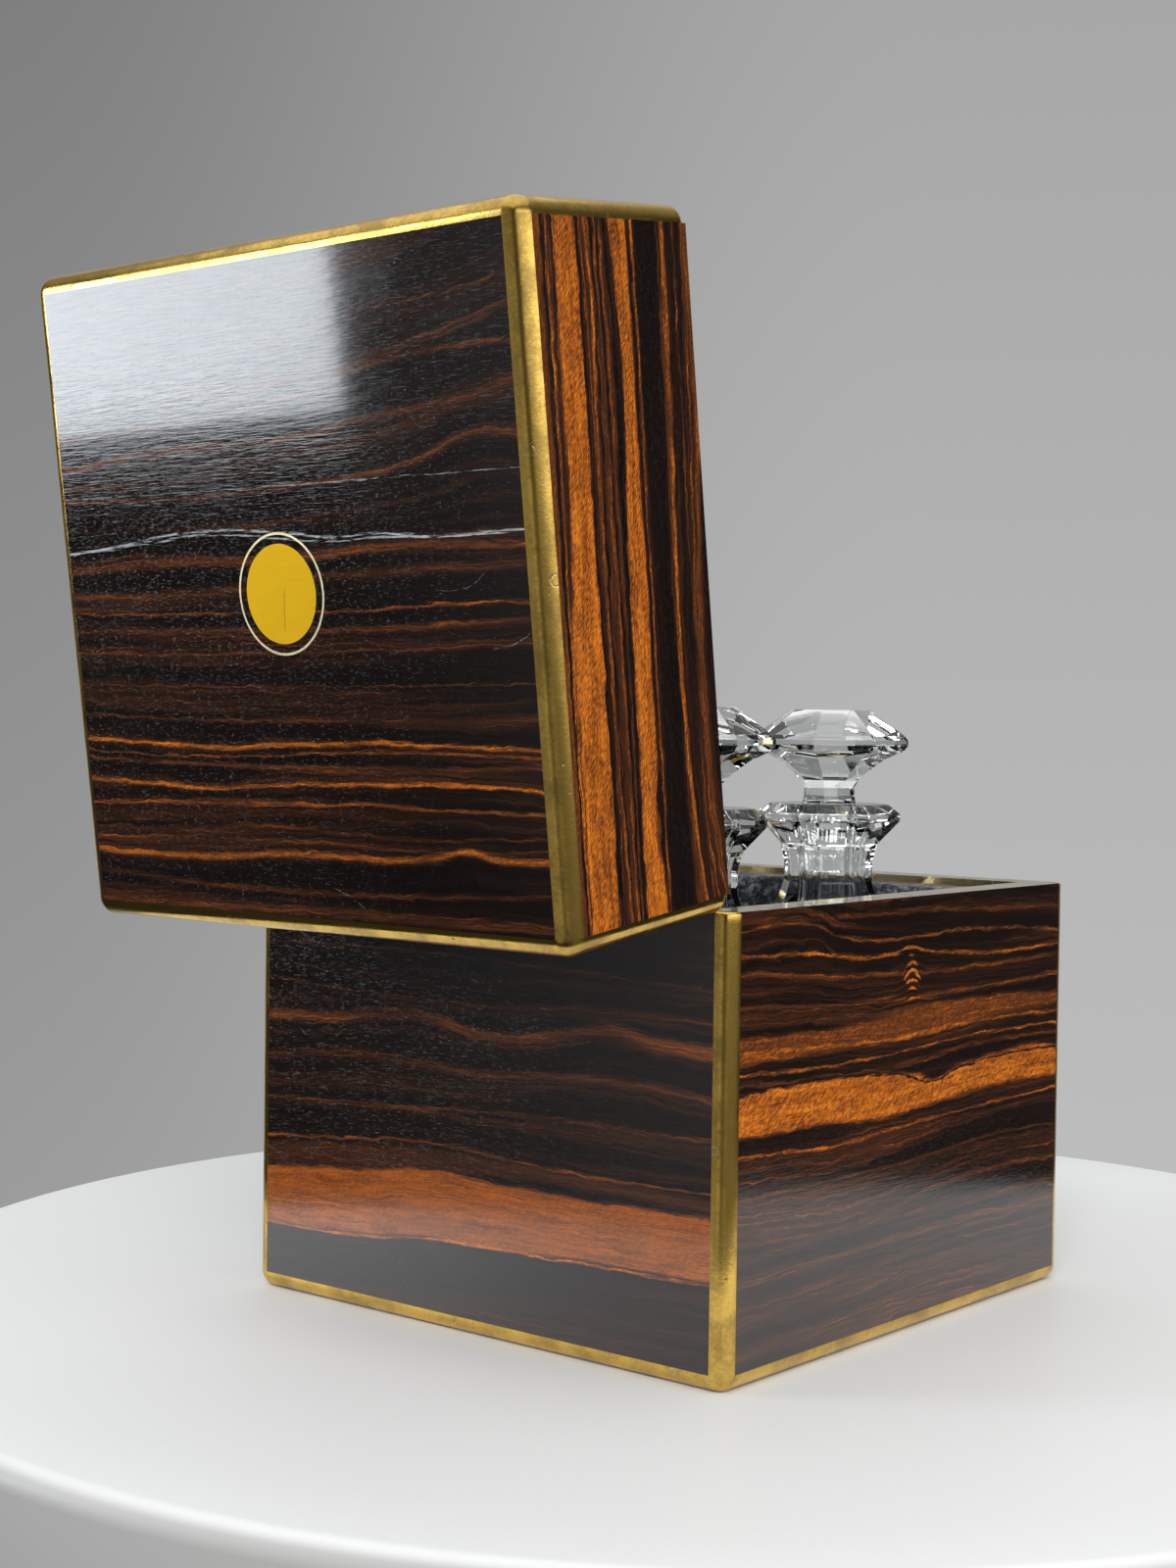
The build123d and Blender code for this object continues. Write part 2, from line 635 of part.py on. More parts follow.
def lock_bolt():
    """A bar with two fingers that shoot through the eyes, slotted for the studs."""
    with BuildPart() as bolt:
        with BuildSketch(front_plane(LOCK_MIDDLE + BOLT_THICKNESS / 2)):
            with Locations((BOLT_LEFT + BOLT_LENGTH / 2, STUD_Z)):
                Rectangle(BOLT_LENGTH, BOLT_BAR)
            post = FINGER_Z + FINGER_HEIGHT / 2 - BOLT_TOP
            reach = POST_BACK - EYE_THICKNESS / 2 - FINGER_START
            for x in EYE_PLACES:
                with Locations((x - POST_BACK + POST_WIDTH / 2, BOLT_TOP + post / 2)):
                    Rectangle(POST_WIDTH, post)
                with Locations((x - POST_BACK + reach / 2, FINGER_Z)):
                    Rectangle(reach, FINGER_HEIGHT)
            slot = BOLT_TRAVEL + 2 * (STUD_RADIUS + STUD_FIT)
            with Locations(*[(x - BOLT_TRAVEL / 2, STUD_Z) for x in STUD_PLACES]):
                SlotOverall(slot, 2 * (STUD_RADIUS + STUD_FIT), mode=Mode.SUBTRACT)
            with Locations((-BOLT_TRAVEL / 2, BOLT_TOP - BOLT_BAR)):
                Circle(TALON_RADIUS, mode=Mode.SUBTRACT)
        extrude(amount=BOLT_THICKNESS)
    return bolt.part


def lock_spring():
    """A bowed leaf from the case's side to the underside of the bolt."""
    root = -LOCK_WIDTH / 2 + LOCK_PLATE
    tip = (root + SPRING_REACH, BOLT_TOP - BOLT_BAR - SPRING_THICKNESS - STUD_FIT)
    foot = (root, tip[1] - SPRING_RISE)
    middle = (root + SPRING_REACH * SPRING_BOW[0], foot[1] + SPRING_RISE * SPRING_BOW[1])
    with BuildPart() as spring:
        with BuildSketch(front_plane(LOCK_MIDDLE + SPRING_WIDTH / 2)):
            with BuildLine():
                ThreePointArc(foot, middle, tip)
                Line(tip, (tip[0], tip[1] + SPRING_THICKNESS))
                ThreePointArc((tip[0], tip[1] + SPRING_THICKNESS),
                              (middle[0], middle[1] + SPRING_THICKNESS),
                              (foot[0], foot[1] + SPRING_THICKNESS))
                Line((foot[0], foot[1] + SPRING_THICKNESS), foot)
            make_face()
        extrude(amount=SPRING_WIDTH)
    return spring.part


def link_plate():
    """The lid's half of the lock: a plate let into the rim, with two eyes that hang from it."""
    with BuildPart() as link:
        add(selvedge_room(LID_RIM, LID_RIM + CAPPING))
        lip = -INNER_Y - CAPPING_RETURN
        far = (SELVEDGE_LENGTH / 2, -INNER_Y, LID_RIM + CAPPING_DROP)
        add(block((-SELVEDGE_LENGTH / 2, lip, LID_RIM + CAPPING), far))
        for x in EYE_PLACES:
            eye = (x - EYE_THICKNESS / 2, LOCK_MIDDLE - EYE_WIDTH / 2, EYE_TIP)
            add(block(eye, (x + EYE_THICKNESS / 2, LOCK_MIDDLE + EYE_WIDTH / 2, LID_RIM)))
        window_low = (-EYE_SPACING, LOCK_MIDDLE - EYE_WINDOW_WIDTH / 2, EYE_TIP + EYE_FLOOR)
        window_high = (EYE_SPACING, LOCK_MIDDLE + EYE_WINDOW_WIDTH / 2, EYE_TIP + EYE_FLOOR + EYE_WINDOW)
        add(block(window_low, window_high), mode=Mode.SUBTRACT)
        with BuildSketch(Plane.XY.offset(LID_RIM)):
            with Locations(*SELVEDGE_SCREWS):
                Circle(SCREW_HEAD)
        extrude(amount=SCREW_SINK, taper=SINK_TAPER, mode=Mode.SUBTRACT)
        holes = screw_holes(SELVEDGE_SCREWS, LID_RIM, -CAPPING, SCREW_SHANK)
        add(holes, mode=Mode.SUBTRACT)
    return link.part


# ---- the base ------------------------------------------------------------------------------------
base_hinge_room = Compound(at_hinges(hinge_room()))
base_boards = carcass(EDGE_RADIUS, BASE_HEIGHT - CAPPING, BASE_HEIGHT, BASE_TAILS)
base_screw_room = screw_holes(hinge_screw_places(), BASE_HEIGHT, SCREW_LENGTH, SCREW_SHANK)

with BuildPart() as front_board:
    add(base_boards["front"])
    add(lock_room(), mode=Mode.SUBTRACT)
write(front_board.part, "base_front_board")

with BuildPart() as rear_board:
    add(base_boards["rear"])
    add(base_hinge_room, mode=Mode.SUBTRACT)
    add(base_screw_room, mode=Mode.SUBTRACT)
write(rear_board.part, "base_rear_board")
for side in SIDES:
    write(base_boards[side], f"base_{side}_board")

with BuildPart() as bottom_board:
    add(block((-PANEL_X, -PANEL_Y, BAIZE), (PANEL_X, PANEL_Y, EDGE_RADIUS)))
write(bottom_board.part, "base_bottom_board")

with BuildPart() as baize:
    add(block((-PANEL_X, -PANEL_Y, 0), (PANEL_X, PANEL_Y, BAIZE)))
write(baize.part, "baize")

base_veneers = side_veneers(EDGE_RADIUS, BASE_HEIGHT)
with BuildPart() as front_veneer:
    add(base_veneers["front"])
    add(keyhole(-BOARD_Y, -HALF_Y, ESCUTCHEON_RIM), mode=Mode.SUBTRACT)
write(front_veneer.part, "base_front_veneer")

with BuildPart() as rear_veneer:
    add(base_veneers["rear"])
    add(base_hinge_room, mode=Mode.SUBTRACT)
write(rear_veneer.part, "base_rear_veneer")
for side in SIDES:
    write(base_veneers[side], f"base_{side}_veneer")

write(corner_mouldings(0, BASE_HEIGHT, 0, BASE_RIM_EASE), "base_corner_mouldings")
write(edge_mouldings(), "base_edge_mouldings")

base_capping = rim_capping(BASE_HEIGHT, 1)
with BuildPart() as rear_capping:
    add(base_capping["rear"])
    add(base_hinge_room, mode=Mode.SUBTRACT)
with BuildPart() as front_capping:
    add(base_capping["front"])
    add(selvedge_room(BASE_HEIGHT - CAPPING_DROP, BASE_HEIGHT), mode=Mode.SUBTRACT)
base_capping["rear"] = rear_capping.part
base_capping["front"] = front_capping.part
base_strips = [solid for strip in base_capping.values() for solid in strip.solids()]
write(Compound(base_strips), "base_rim_capping")

with BuildPart() as escutcheon:
    add(keyhole(-BOARD_Y, -HALF_Y, ESCUTCHEON_RIM))
    add(keyhole(-BOARD_Y, -HALF_Y, 0), mode=Mode.SUBTRACT)
write(escutcheon.part, "escutcheon")

# ---- lining of the base --------------------------------------------------------------------------
PAD_TOP = BASE_HEIGHT - PAD_TOP_DROP
for name, sy in ENDS.items():
    near, far = sorted((sy * CELL_EDGE, sy * INNER_Y))
    with BuildPart() as pad:
        add(block((-INNER_X, near, EDGE_RADIUS), (INNER_X, far, PAD_TOP)))
        top_edges = pad.faces().sort_by(Axis.Z)[-1].edges().filter_by(Axis.X)
        fillet(top_edges.sort_by(Axis.Y)[0 if sy > 0 else -1], radius=PAD_ROUND)
    write(pad.part, f"{name}_pad")
for name, sx in SIDES.items():
    near, far = sorted((sx * CELL_EDGE, sx * INNER_X))
    with BuildPart() as pad:
        add(block((near, PAD_GAP - CELL_EDGE, EDGE_RADIUS), (far, CELL_EDGE - PAD_GAP, PAD_TOP)))
        top_edges = pad.faces().sort_by(Axis.Z)[-1].edges().filter_by(Axis.Y)
        fillet(top_edges.sort_by(Axis.X)[0 if sx > 0 else -1], radius=PAD_ROUND)
    write(pad.part, f"{name}_pad")

with BuildPart() as floor_pads:
    with BuildSketch(Plane.XY.offset(EDGE_RADIUS)):
        cell = CELL_EDGE - DIVIDER / 2 - 2 * PAD_GAP
        with GridLocations(CELL_EDGE + DIVIDER / 2, CELL_EDGE + DIVIDER / 2, 2, 2):
            Rectangle(cell, cell)
    extrude(amount=FLOOR_PAD)
write(floor_pads.part, "floor_pads")


def divider(slot_low, slot_high):
    """A board across the box, slotted at its middle for the other one to cross it."""
    reach = CELL_EDGE - PAD_GAP
    half = DIVIDER / 2
    top = EDGE_RADIUS + DIVIDER_HEIGHT
    with BuildPart() as board:
        add(block((-half, -reach, EDGE_RADIUS), (half, reach, top)))
        lap = half + LAP_FIT
        add(block((-half, -lap, slot_low), (half, lap, slot_high)), mode=Mode.SUBTRACT)
    return board.part


lap_height = EDGE_RADIUS + DIVIDER_HEIGHT / 2
divider_top = EDGE_RADIUS + DIVIDER_HEIGHT
write(divider(lap_height, divider_top), "divider_front_to_back")
write(divider(EDGE_RADIUS, lap_height + LAP_FIT).rotate(Axis.Z, 90), "divider_side_to_side")

# ---- the lid -------------------------------------------------------------------------------------
lid_boards = carcass(LID_RIM + CAPPING, LID_INSIDE, LID_RIM, LID_TAILS)
lid_screw_room = screw_holes(hinge_screw_places(), LID_RIM, -SCREW_LENGTH, SCREW_SHANK)
link_screw_room = screw_holes(SELVEDGE_SCREWS, LID_RIM, -SCREW_LENGTH, SCREW_SHANK)

with BuildPart() as lid_front_board:
    add(lid_boards["front"])
    add(link_screw_room, mode=Mode.SUBTRACT)
write_open(lid_front_board.part, "lid_front_board")

with BuildPart() as lid_rear_board:
    add(lid_boards["rear"])
    add(base_hinge_room, mode=Mode.SUBTRACT)
    add(lid_screw_room, mode=Mode.SUBTRACT)
write_open(lid_rear_board.part, "lid_rear_board")
for side in SIDES:
    write_open(lid_boards[side], f"lid_{side}_board")

with BuildPart() as lid_top_board:
    add(block((-PANEL_X, -PANEL_Y, LID_INSIDE), (PANEL_X, PANEL_Y, LID_TOP - VENEER)))
write_open(lid_top_board.part, "lid_top_board")

lid_veneers = side_veneers(LID_RIM, LID_INSIDE)
with BuildPart() as lid_rear_veneer:
    add(lid_veneers["rear"])
    add(base_hinge_room, mode=Mode.SUBTRACT)
lid_veneers["rear"] = lid_rear_veneer.part
for name, sheet in lid_veneers.items():
    write_open(sheet, f"lid_{name}_veneer")

with BuildPart() as lid_top_veneer:
    add(block((-PANEL_X, -PANEL_Y, LID_TOP - VENEER), (PANEL_X, PANEL_Y, LID_TOP)))
    with BuildSketch(Plane.XY.offset(LID_TOP)):
        Circle(RING_OUTER)
        Circle(RING_INNER, mode=Mode.SUBTRACT)
        Circle(DISC_RADIUS)
    extrude(amount=-VENEER, mode=Mode.SUBTRACT)
write_open(lid_top_veneer.part, "lid_top_veneer")

with BuildPart() as cartouche_disc:
    with BuildSketch(Plane.XY.offset(LID_TOP)):
        Circle(DISC_RADIUS)
    extrude(amount=-VENEER)
write_open(cartouche_disc.part, "cartouche_disc")

with BuildPart() as cartouche_ring:
    with BuildSketch(Plane.XY.offset(LID_TOP)):
        Circle(RING_OUTER)
        Circle(RING_INNER, mode=Mode.SUBTRACT)
    extrude(amount=-VENEER)
write_open(cartouche_ring.part, "cartouche_ring")

write_open(corner_mouldings(LID_RIM, LID_TOP, -1, LID_RIM_EASE), "lid_corner_mouldings")
lid_edges = edge_mouldings().mirror(Plane.XY).translate((0, 0, LID_TOP))
write_open(lid_edges, "lid_edge_mouldings")

lid_capping = rim_capping(LID_RIM, -1)
with BuildPart() as lid_rear_capping:
    add(lid_capping["rear"])
    add(base_hinge_room, mode=Mode.SUBTRACT)
with BuildPart() as lid_front_capping:
    add(lid_capping["front"])
    add(selvedge_room(LID_RIM, LID_RIM + CAPPING_DROP), mode=Mode.SUBTRACT)
lid_capping["rear"] = lid_rear_capping.part
lid_capping["front"] = lid_front_capping.part
lid_strips = [solid for strip in lid_capping.values() for solid in strip.solids()]
write_open(Compound(lid_strips), "lid_rim_capping")

with BuildPart() as lid_top_pad:
    half_x = INNER_X - LID_SIDE_PAD - PAD_GAP
    half_y = INNER_Y - LID_SIDE_PAD - PAD_GAP
    add(block((-half_x, -half_y, LID_INSIDE - LID_PAD), (half_x, half_y, LID_INSIDE)))
write_open(lid_top_pad.part, "lid_top_pad")

with BuildPart() as lid_side_pads:
    lining = square_ring(INNER_X - LID_SIDE_PAD, INNER_Y - LID_SIDE_PAD, LID_SIDE_PAD,
                         LID_RIM + CAPPING_DROP + PAD_GAP, LID_INSIDE)
    add(lining)
write_open(lid_side_pads.part, "lid_side_pads")

# ---- hinges, screws and lock ---------------------------------------------------------------------
write(Compound(at_hinges(hinge_leaf(-1, STOP_SLACK))), "hinge_base_leaves")
write_open(Compound(at_hinges(hinge_leaf(1, 0))), "hinge_lid_leaves")
pin = hinge_cylinder(HINGE_PIN_RADIUS, -HINGE_LENGTH / 2, HINGE_LENGTH)
write(Compound(at_hinges(pin)), "hinge_pins")

rim_screw = screw(SCREW_LENGTH)
lid_screw = rim_screw.rotate(Axis.X, 180)
write(screws_at(hinge_screw_places(), rim_screw, BASE_HEIGHT), "hinge_base_screws")
write_open(screws_at(hinge_screw_places(), lid_screw, LID_RIM), "hinge_lid_screws")
write(screws_at(SELVEDGE_SCREWS, rim_screw, BASE_HEIGHT), "lock_screws")
write_open(screws_at(SELVEDGE_SCREWS, lid_screw, LID_RIM), "link_screws")

write(lock_case(), "lock_case")
write(lock_cap(), "lock_cap")
write(lock_spring(), "lock_spring")
write(lock_bolt(), "lock_bolt")
write_open(link_plate(), "link_plate")

# ---- decanters and stoppers ----------------------------------------------------------------------
glass_bottle = decanter()
glass_stopper = stopper()
for name, (sx, sy) in CORNERS.items():
    write(glass_bottle.translate((sx * CELL, sy * CELL, FOOT_Z)), f"decanter_{name}")
    write(glass_stopper.translate((sx * CELL, sy * CELL, LIP_Z + STOPPER_SEAT)), f"stopper_{name}")
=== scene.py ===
"""A brass-edged decanter box in striped veneer, its lid open, with four cut-glass decanters.

Metres. X runs along the hinge line, the front faces -Y and Z is up. The box is dressed in the order
in which it is put together: casing, veneer, brass edging, fittings, lining, glass.
"""
import math

import bmesh
import bpy
import numpy as np
from mathutils import Matrix, Vector


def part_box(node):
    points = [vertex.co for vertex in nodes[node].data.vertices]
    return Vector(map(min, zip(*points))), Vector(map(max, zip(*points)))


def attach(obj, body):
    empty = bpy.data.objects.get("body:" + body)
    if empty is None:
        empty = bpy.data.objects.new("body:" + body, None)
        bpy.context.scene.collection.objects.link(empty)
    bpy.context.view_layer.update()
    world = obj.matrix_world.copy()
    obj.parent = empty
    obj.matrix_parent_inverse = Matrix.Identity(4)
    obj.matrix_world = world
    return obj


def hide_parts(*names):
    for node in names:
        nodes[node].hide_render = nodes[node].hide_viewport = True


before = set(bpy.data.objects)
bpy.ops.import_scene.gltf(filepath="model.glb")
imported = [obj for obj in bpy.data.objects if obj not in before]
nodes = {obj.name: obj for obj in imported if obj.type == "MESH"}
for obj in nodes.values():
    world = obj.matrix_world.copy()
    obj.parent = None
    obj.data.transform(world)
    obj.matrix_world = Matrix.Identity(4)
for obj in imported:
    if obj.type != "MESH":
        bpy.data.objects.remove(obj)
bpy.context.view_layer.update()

# ---- Casing ------------------------------------------------------------------------------------
# Ten planed mahogany boards, dovetailed at the corners and glued. The veneer hides them, apart from
# thin lines of end grain round the fittings. The lid's boards stand open with the lid.


class Wire:
    """One socket of a finish. Arithmetic on it adds Math nodes."""

    def __init__(self, finish, socket):
        self.finish = finish
        self.socket = socket

    def maths(self, operation, *values):
        return self.finish.node("ShaderNodeMath", dict(enumerate(values)), operation=operation)

    def __add__(self, other):
        return self.maths("ADD", self, other)

    __radd__ = __add__

    def __mul__(self, other):
        return self.maths("MULTIPLY", self, other)

    __rmul__ = __mul__

    def __sub__(self, other):
        return self.maths("SUBTRACT", self, other)

    def __rsub__(self, other):
        return self.maths("SUBTRACT", other, self)

    def __truediv__(self, other):
        return self.maths("DIVIDE", self, other)

    def __neg__(self):
        return self.maths("MULTIPLY", self, -1.0)

    def __abs__(self):
        return self.maths("ABSOLUTE", self)

    def __pow__(self, other):
        return self.maths("POWER", self, other)

    def larger(self, other):
        return self.maths("MAXIMUM", self, other)

    def step(self, low, high, rise="SMOOTHSTEP"):
        """0 below low, 1 above high, and a smooth or LINEAR rise between them."""
        ends = {"Value": self, "From Min": low, "From Max": high}
        return self.finish.node("ShaderNodeMapRange", ends, interpolation_type=rise)

    def output(self, name):
        return Wire(self.finish, self.socket.node.outputs[name])


class Finish:
    """A material with one Principled shader, and the nodes that drive it."""

    def __init__(self, name, **constants):
        self.material = bpy.data.materials.new(name)
        self.material.use_nodes = True
        self.tree = self.material.node_tree
        self.tree.nodes.clear()
        self.surface = self.tree.nodes.new("ShaderNodeBsdfPrincipled")
        end = self.tree.nodes.new("ShaderNodeOutputMaterial")
        self.tree.links.new(self.surface.outputs[0], end.inputs["Surface"])
        self.set({key.replace("_", " "): value for key, value in constants.items()})

    def set(self, values, node=None):
        """Gives a node's sockets, or the shader's, their numbers and links."""
        node = node or self.surface
        for key, value in values.items():
            if isinstance(value, Wire):
                self.tree.links.new(value.socket, node.inputs[key])
            else:
                node.inputs[key].default_value = value

    def node(self, kind, values=None, out=0, stops=None, curve=None, **settings):
        """Adds a node: its settings, ramp stops or curve points first, then its sockets."""
        made = self.tree.nodes.new(kind)
        for name, value in settings.items():
            setattr(made, name, value)
        if stops:
            ramp = made.color_ramp
            while len(ramp.elements) < len(stops):
                ramp.elements.new(1.0)
            for element, (position, colour) in zip(ramp.elements, stops):
                element.position = position
                element.color = (*colour, 1.0) if len(colour) == 3 else colour
        if curve:
            line = made.mapping.curves[0]
            while len(line.points) < len(curve):
                line.points.new(0.5, 0.5)
            for point, place in zip(line.points, curve):
                point.location = place
            made.mapping.update()
        self.set(values or {}, made)
        return Wire(self, made.outputs[out])

    def place(self):
        """Object coordinates."""
        return self.node("ShaderNodeTexCoord", out="Object")

    def noise(self, place, size, detail=2.0, roughness=0.5, seed=0.0):
        """Noise from 0 to 1, with features of the given size along each axis."""
        scale = [1.0 / s for s in size]
        stretched = self.node("ShaderNodeMapping", {"Vector": place, "Scale": scale,
                                                    "Location": (seed, 0.37 * seed, 0.71 * seed)})
        return self.node("ShaderNodeTexNoise", {"Vector": stretched, "Scale": 1.0, "Detail": detail,
                                                "Roughness": roughness})

    def mix(self, factor, dark, light, blend="MIX"):
        """A colour between two colours."""
        ends = {0: factor, 6: dark, 7: light}
        for key in (6, 7):
            if not isinstance(ends[key], Wire):
                ends[key] = (*ends[key], 1.0)
        return self.node("ShaderNodeMix", ends, out=2, data_type="RGBA", blend_type=blend,
                         clamp_result=True)

    def bump(self, height, distance, strength=1.0):
        values = {"Height": height, "Distance": distance, "Strength": strength}
        self.set({"Normal": self.node("ShaderNodeBump", values)})

    def wear(self, *names):
        """Gives the finish to whole CAD nodes."""
        for name in names:
            nodes[name].data.materials.clear()
            nodes[name].data.materials.append(self.material)


LID_OPEN = 97.6  # degrees
HINGE_LINE = (0.0, 0.1145, 0.1611)


def closed_place(finish, on_lid):
    """X, Y and Z in millimetres, for the lid as they are when it is shut."""
    place = finish.place()
    if on_lid:
        turn = math.radians(LID_OPEN)
        y, z = HINGE_LINE[1:]
        shift = (0.0, y - y * math.cos(turn) + z * math.sin(turn),
                 z - y * math.sin(turn) - z * math.cos(turn))
        place = finish.node("ShaderNodeMapping", {"Vector": place, "Location": shift,
                                                  "Rotation": (turn, 0.0, 0.0)})
    parts = finish.node("ShaderNodeSeparateXYZ", {0: place})
    return [1000.0 * parts.output(axis) for axis in "XYZ"]


def mahogany(name, on_lid, along_x):
    """Reddish brown with long darker fibres and short pores."""
    finish = Finish(name, IOR=1.5)
    x, y, z = closed_place(finish, on_lid)
    along, across = (x, y) if along_x else (y, x)
    place = finish.node("ShaderNodeCombineXYZ", {0: along, 1: across, 2: z})
    figure = finish.noise(place, (90.0, 7.0, 7.0), detail=4.0, roughness=0.6)
    pores = finish.noise(place, (5.0, 0.3, 0.3), detail=1.0).step(0.66, 0.74)
    colour = finish.mix(figure, (0.19, 0.068, 0.028), (0.36, 0.15, 0.066))
    colour = finish.mix(0.6 * pores, colour, (0.06, 0.02, 0.01))
    finish.set({"Base Color": colour, "Roughness": 0.5 + 0.2 * figure})
    finish.bump(figure - pores, 0.0001, 0.6)
    return finish


mahogany("mahogany_across", False, True).wear("base_front_board", "base_rear_board",
                                              "base_bottom_board")
mahogany("mahogany_along", False, False).wear("base_left_board", "base_right_board")
mahogany("lid_mahogany_across", True, True).wear("lid_front_board", "lid_rear_board",
                                                 "lid_top_board")
mahogany("lid_mahogany_along", True, False).wear("lid_left_board", "lid_right_board")

# ---- Veneer ------------------------------------------------------------------------------------
# Nine sheets of sawn coromandel: near-black wood with brown fibres, orange-brown streaks that
# follow the growth rings, fine pores and a french-polished surface. Each sheet has its own figure,
# in millimetres along the grain and across it.
WIDE = 229.0  # the box's width and depth
BASE_HIGH = 161.0
LID_HIGH = 81.0
SHUT_HIGH = 242.0
# the wood's colours, from tone 0 to tone 1
HEART = [(0.0, (0.003, 0.0018, 0.0017)), (0.2, (0.0095, 0.004, 0.0026)),
         (0.4, (0.036, 0.012, 0.0052)), (0.6, (0.135, 0.037, 0.009)),
         (0.8, (0.41, 0.102, 0.0098)), (1.0, (0.8, 0.235, 0.02))]


def veneer(name, sheet, on_lid, axes, width, bands=(), streaks=(), marks=(), knots=(), waxed=(),
           flow=(), seed=0.0, ground=(0.1, 0.4), mottled=0.7, haze=0.05):
    """Finishes one sheet.

    axes names the axes along and across the grain; a minus runs one backwards. Bands lie between
    two lines, streaks and pale marks follow one. A line is points (along, across). Bands, streaks
    and the ground's range have a tone from 0 (black) to 1 (bright orange). A knot is its middle and
    its reach. The ground's rings run with the streaks whose numbers are in flow. mottled is the
    strength of the flecks in the paler wood, and haze is the roughness of the polish.
    """
    finish = Finish(name, IOR=1.52, Coat_Roughness=haze)
    mm = dict(zip("xyz", closed_place(finish, on_lid)))

    def run(axis):
        """Millimetres along an axis from the sheet's edge."""
        edge = WIDE / 2
        if axis[-1] == "z":
            edge = SHUT_HIGH if on_lid else BASE_HIGH
        return edge - mm[axis[-1]] if axis[0] == "-" else edge + mm[axis[-1]]

    def path(points):
        """How far across the grain a line is, at each place along it."""
        curve = [(a / WIDE, c / width) for a, c in points]
        return width * finish.node("ShaderNodeFloatCurve", {"Value": along / WIDE}, curve=curve)

    along, across = (run(axis) for axis in axes)
    place = finish.node("ShaderNodeCombineXYZ", {0: along, 1: across, 2: seed * 10.0})

    # the ground is moved across the grain so that the guides lie straight, and between two guides
    # the shift is shared out
    guides = sorted((sum(c for a, c in streaks[n][0]) / len(streaks[n][0]), n) for n in flow)
    shifts = [mean - path(streaks[n][0]) for mean, n in guides]
    ring = across + shifts[0] if guides else across
    for (low, near), (high, far) in zip(zip(guides, shifts), zip(guides[1:], shifts[1:])):
        ring = ring + across.step(low[0], high[0], "LINEAR") * (far - near)
    wander = finish.noise(place, (70.0, 20.0, 9.0), detail=2.0, seed=seed) - 0.5
    ripple = finish.noise(place, (11.0, 6.0, 9.0), detail=2.0, roughness=0.6, seed=seed + 1.0) - 0.5
    ring = ring + 4.0 * wander + 4.0 * ripple
    ringed = finish.node("ShaderNodeCombineXYZ", {0: along, 1: ring, 2: seed * 10.0})

    # ground: broad layers, lines a millimetre apart, and fibres
    layers = finish.noise(ringed, (260.0, 6.5, 9.0), detail=3.0, roughness=0.6, seed=seed + 5.0)
    lines = finish.noise(ringed, (90.0, 1.05, 9.0), detail=3.0, roughness=0.82, seed=seed + 8.0)
    lines = lines - 0.5
    fibres = finish.noise(ringed, (14.0, 0.3, 9.0), detail=2.0, seed=seed + 3.0) - 0.5
    low, high = ground
    level = low + (high - low) * layers.step(0.38, 0.64)
    tone = level + (0.25 + 2.4 * level) * lines + 0.3 * fibres

    # bands, streaks and knots, with ragged edges; a knot's paler wood lies in stacked crescents
    ragged = finish.noise(place, (15.0, 1.3, 9.0), detail=3.0, roughness=0.7, seed=seed + 3.0) - 0.5
    bent = across + 1.6 * wander + 2.4 * ragged + 1.6 * fibres + 2.0 * ripple
    for top, bottom, strength, soft in bands:
        inside = (bent - path(top)).step(-soft, soft) * (path(bottom) - bent).step(-soft, soft)
        tone = tone + inside * (strength + (0.2 + 0.4 * mottled) * lines + 0.3 * fibres - tone)
    fade = finish.noise(place, (26.0, 9.0, 9.0), detail=1.0, seed=seed + 11.0).step(0.25, 0.6)
    for line, half, strength in streaks:
        near = 1.0 - abs(bent - path(line)).step(0.1 * half, 1.35 * half)
        near = near * (0.75 + 0.25 * fade)
        tone = tone + near * (strength + 0.9 * lines + 0.6 * fibres - tone)
    for (knot_a, knot_c), (reach_a, reach_c) in knots:
        away = ((along - knot_a) / reach_a) ** 2.0 + ((across - knot_c) / reach_c) ** 2.0
        curl = 1.9 * (across - 0.09 * (along - knot_a) ** 2.0) + 5.0 * ragged + 3.0 * ripple
        near = 1.0 - (away + 2.0 * ragged + 2.0 * ripple).step(0.2, 1.1)
        crescent = finish.node("ShaderNodeMath", {0: curl}, operation="SINE").step(-0.2, 0.7)
        tone = tone + near * (0.34 + 0.56 * crescent + 0.8 * fibres - tone)

    # slanting flecks mottle the paler wood; pores are short dark dashes
    slanted = finish.node("ShaderNodeMapping", {"Vector": place, "Rotation": (0.0, 0.0, 0.55)})
    flecks = finish.noise(slanted, (2.0, 0.46, 9.0), detail=1.0, roughness=0.6, seed=seed + 13.0)
    patches = finish.noise(place, (16.0, 4.0, 9.0), detail=2.0, seed=seed + 15.0) - 0.5
    pale_wood = tone.step(0.4, 0.8)
    uneven = mottled * (flecks - 0.5) + (0.1 + 0.35 * mottled) * patches
    tone = tone + uneven * pale_wood
    colour = finish.node("ShaderNodeValToRGB", {0: tone}, stops=HEART)
    pores = finish.noise(place, (2.6, 0.16, 9.0), detail=1.0, seed=seed + 17.0).step(0.66, 0.72)
    colour = finish.mix(0.28 * pores * pale_wood, colour, (0.02, 0.007, 0.003))

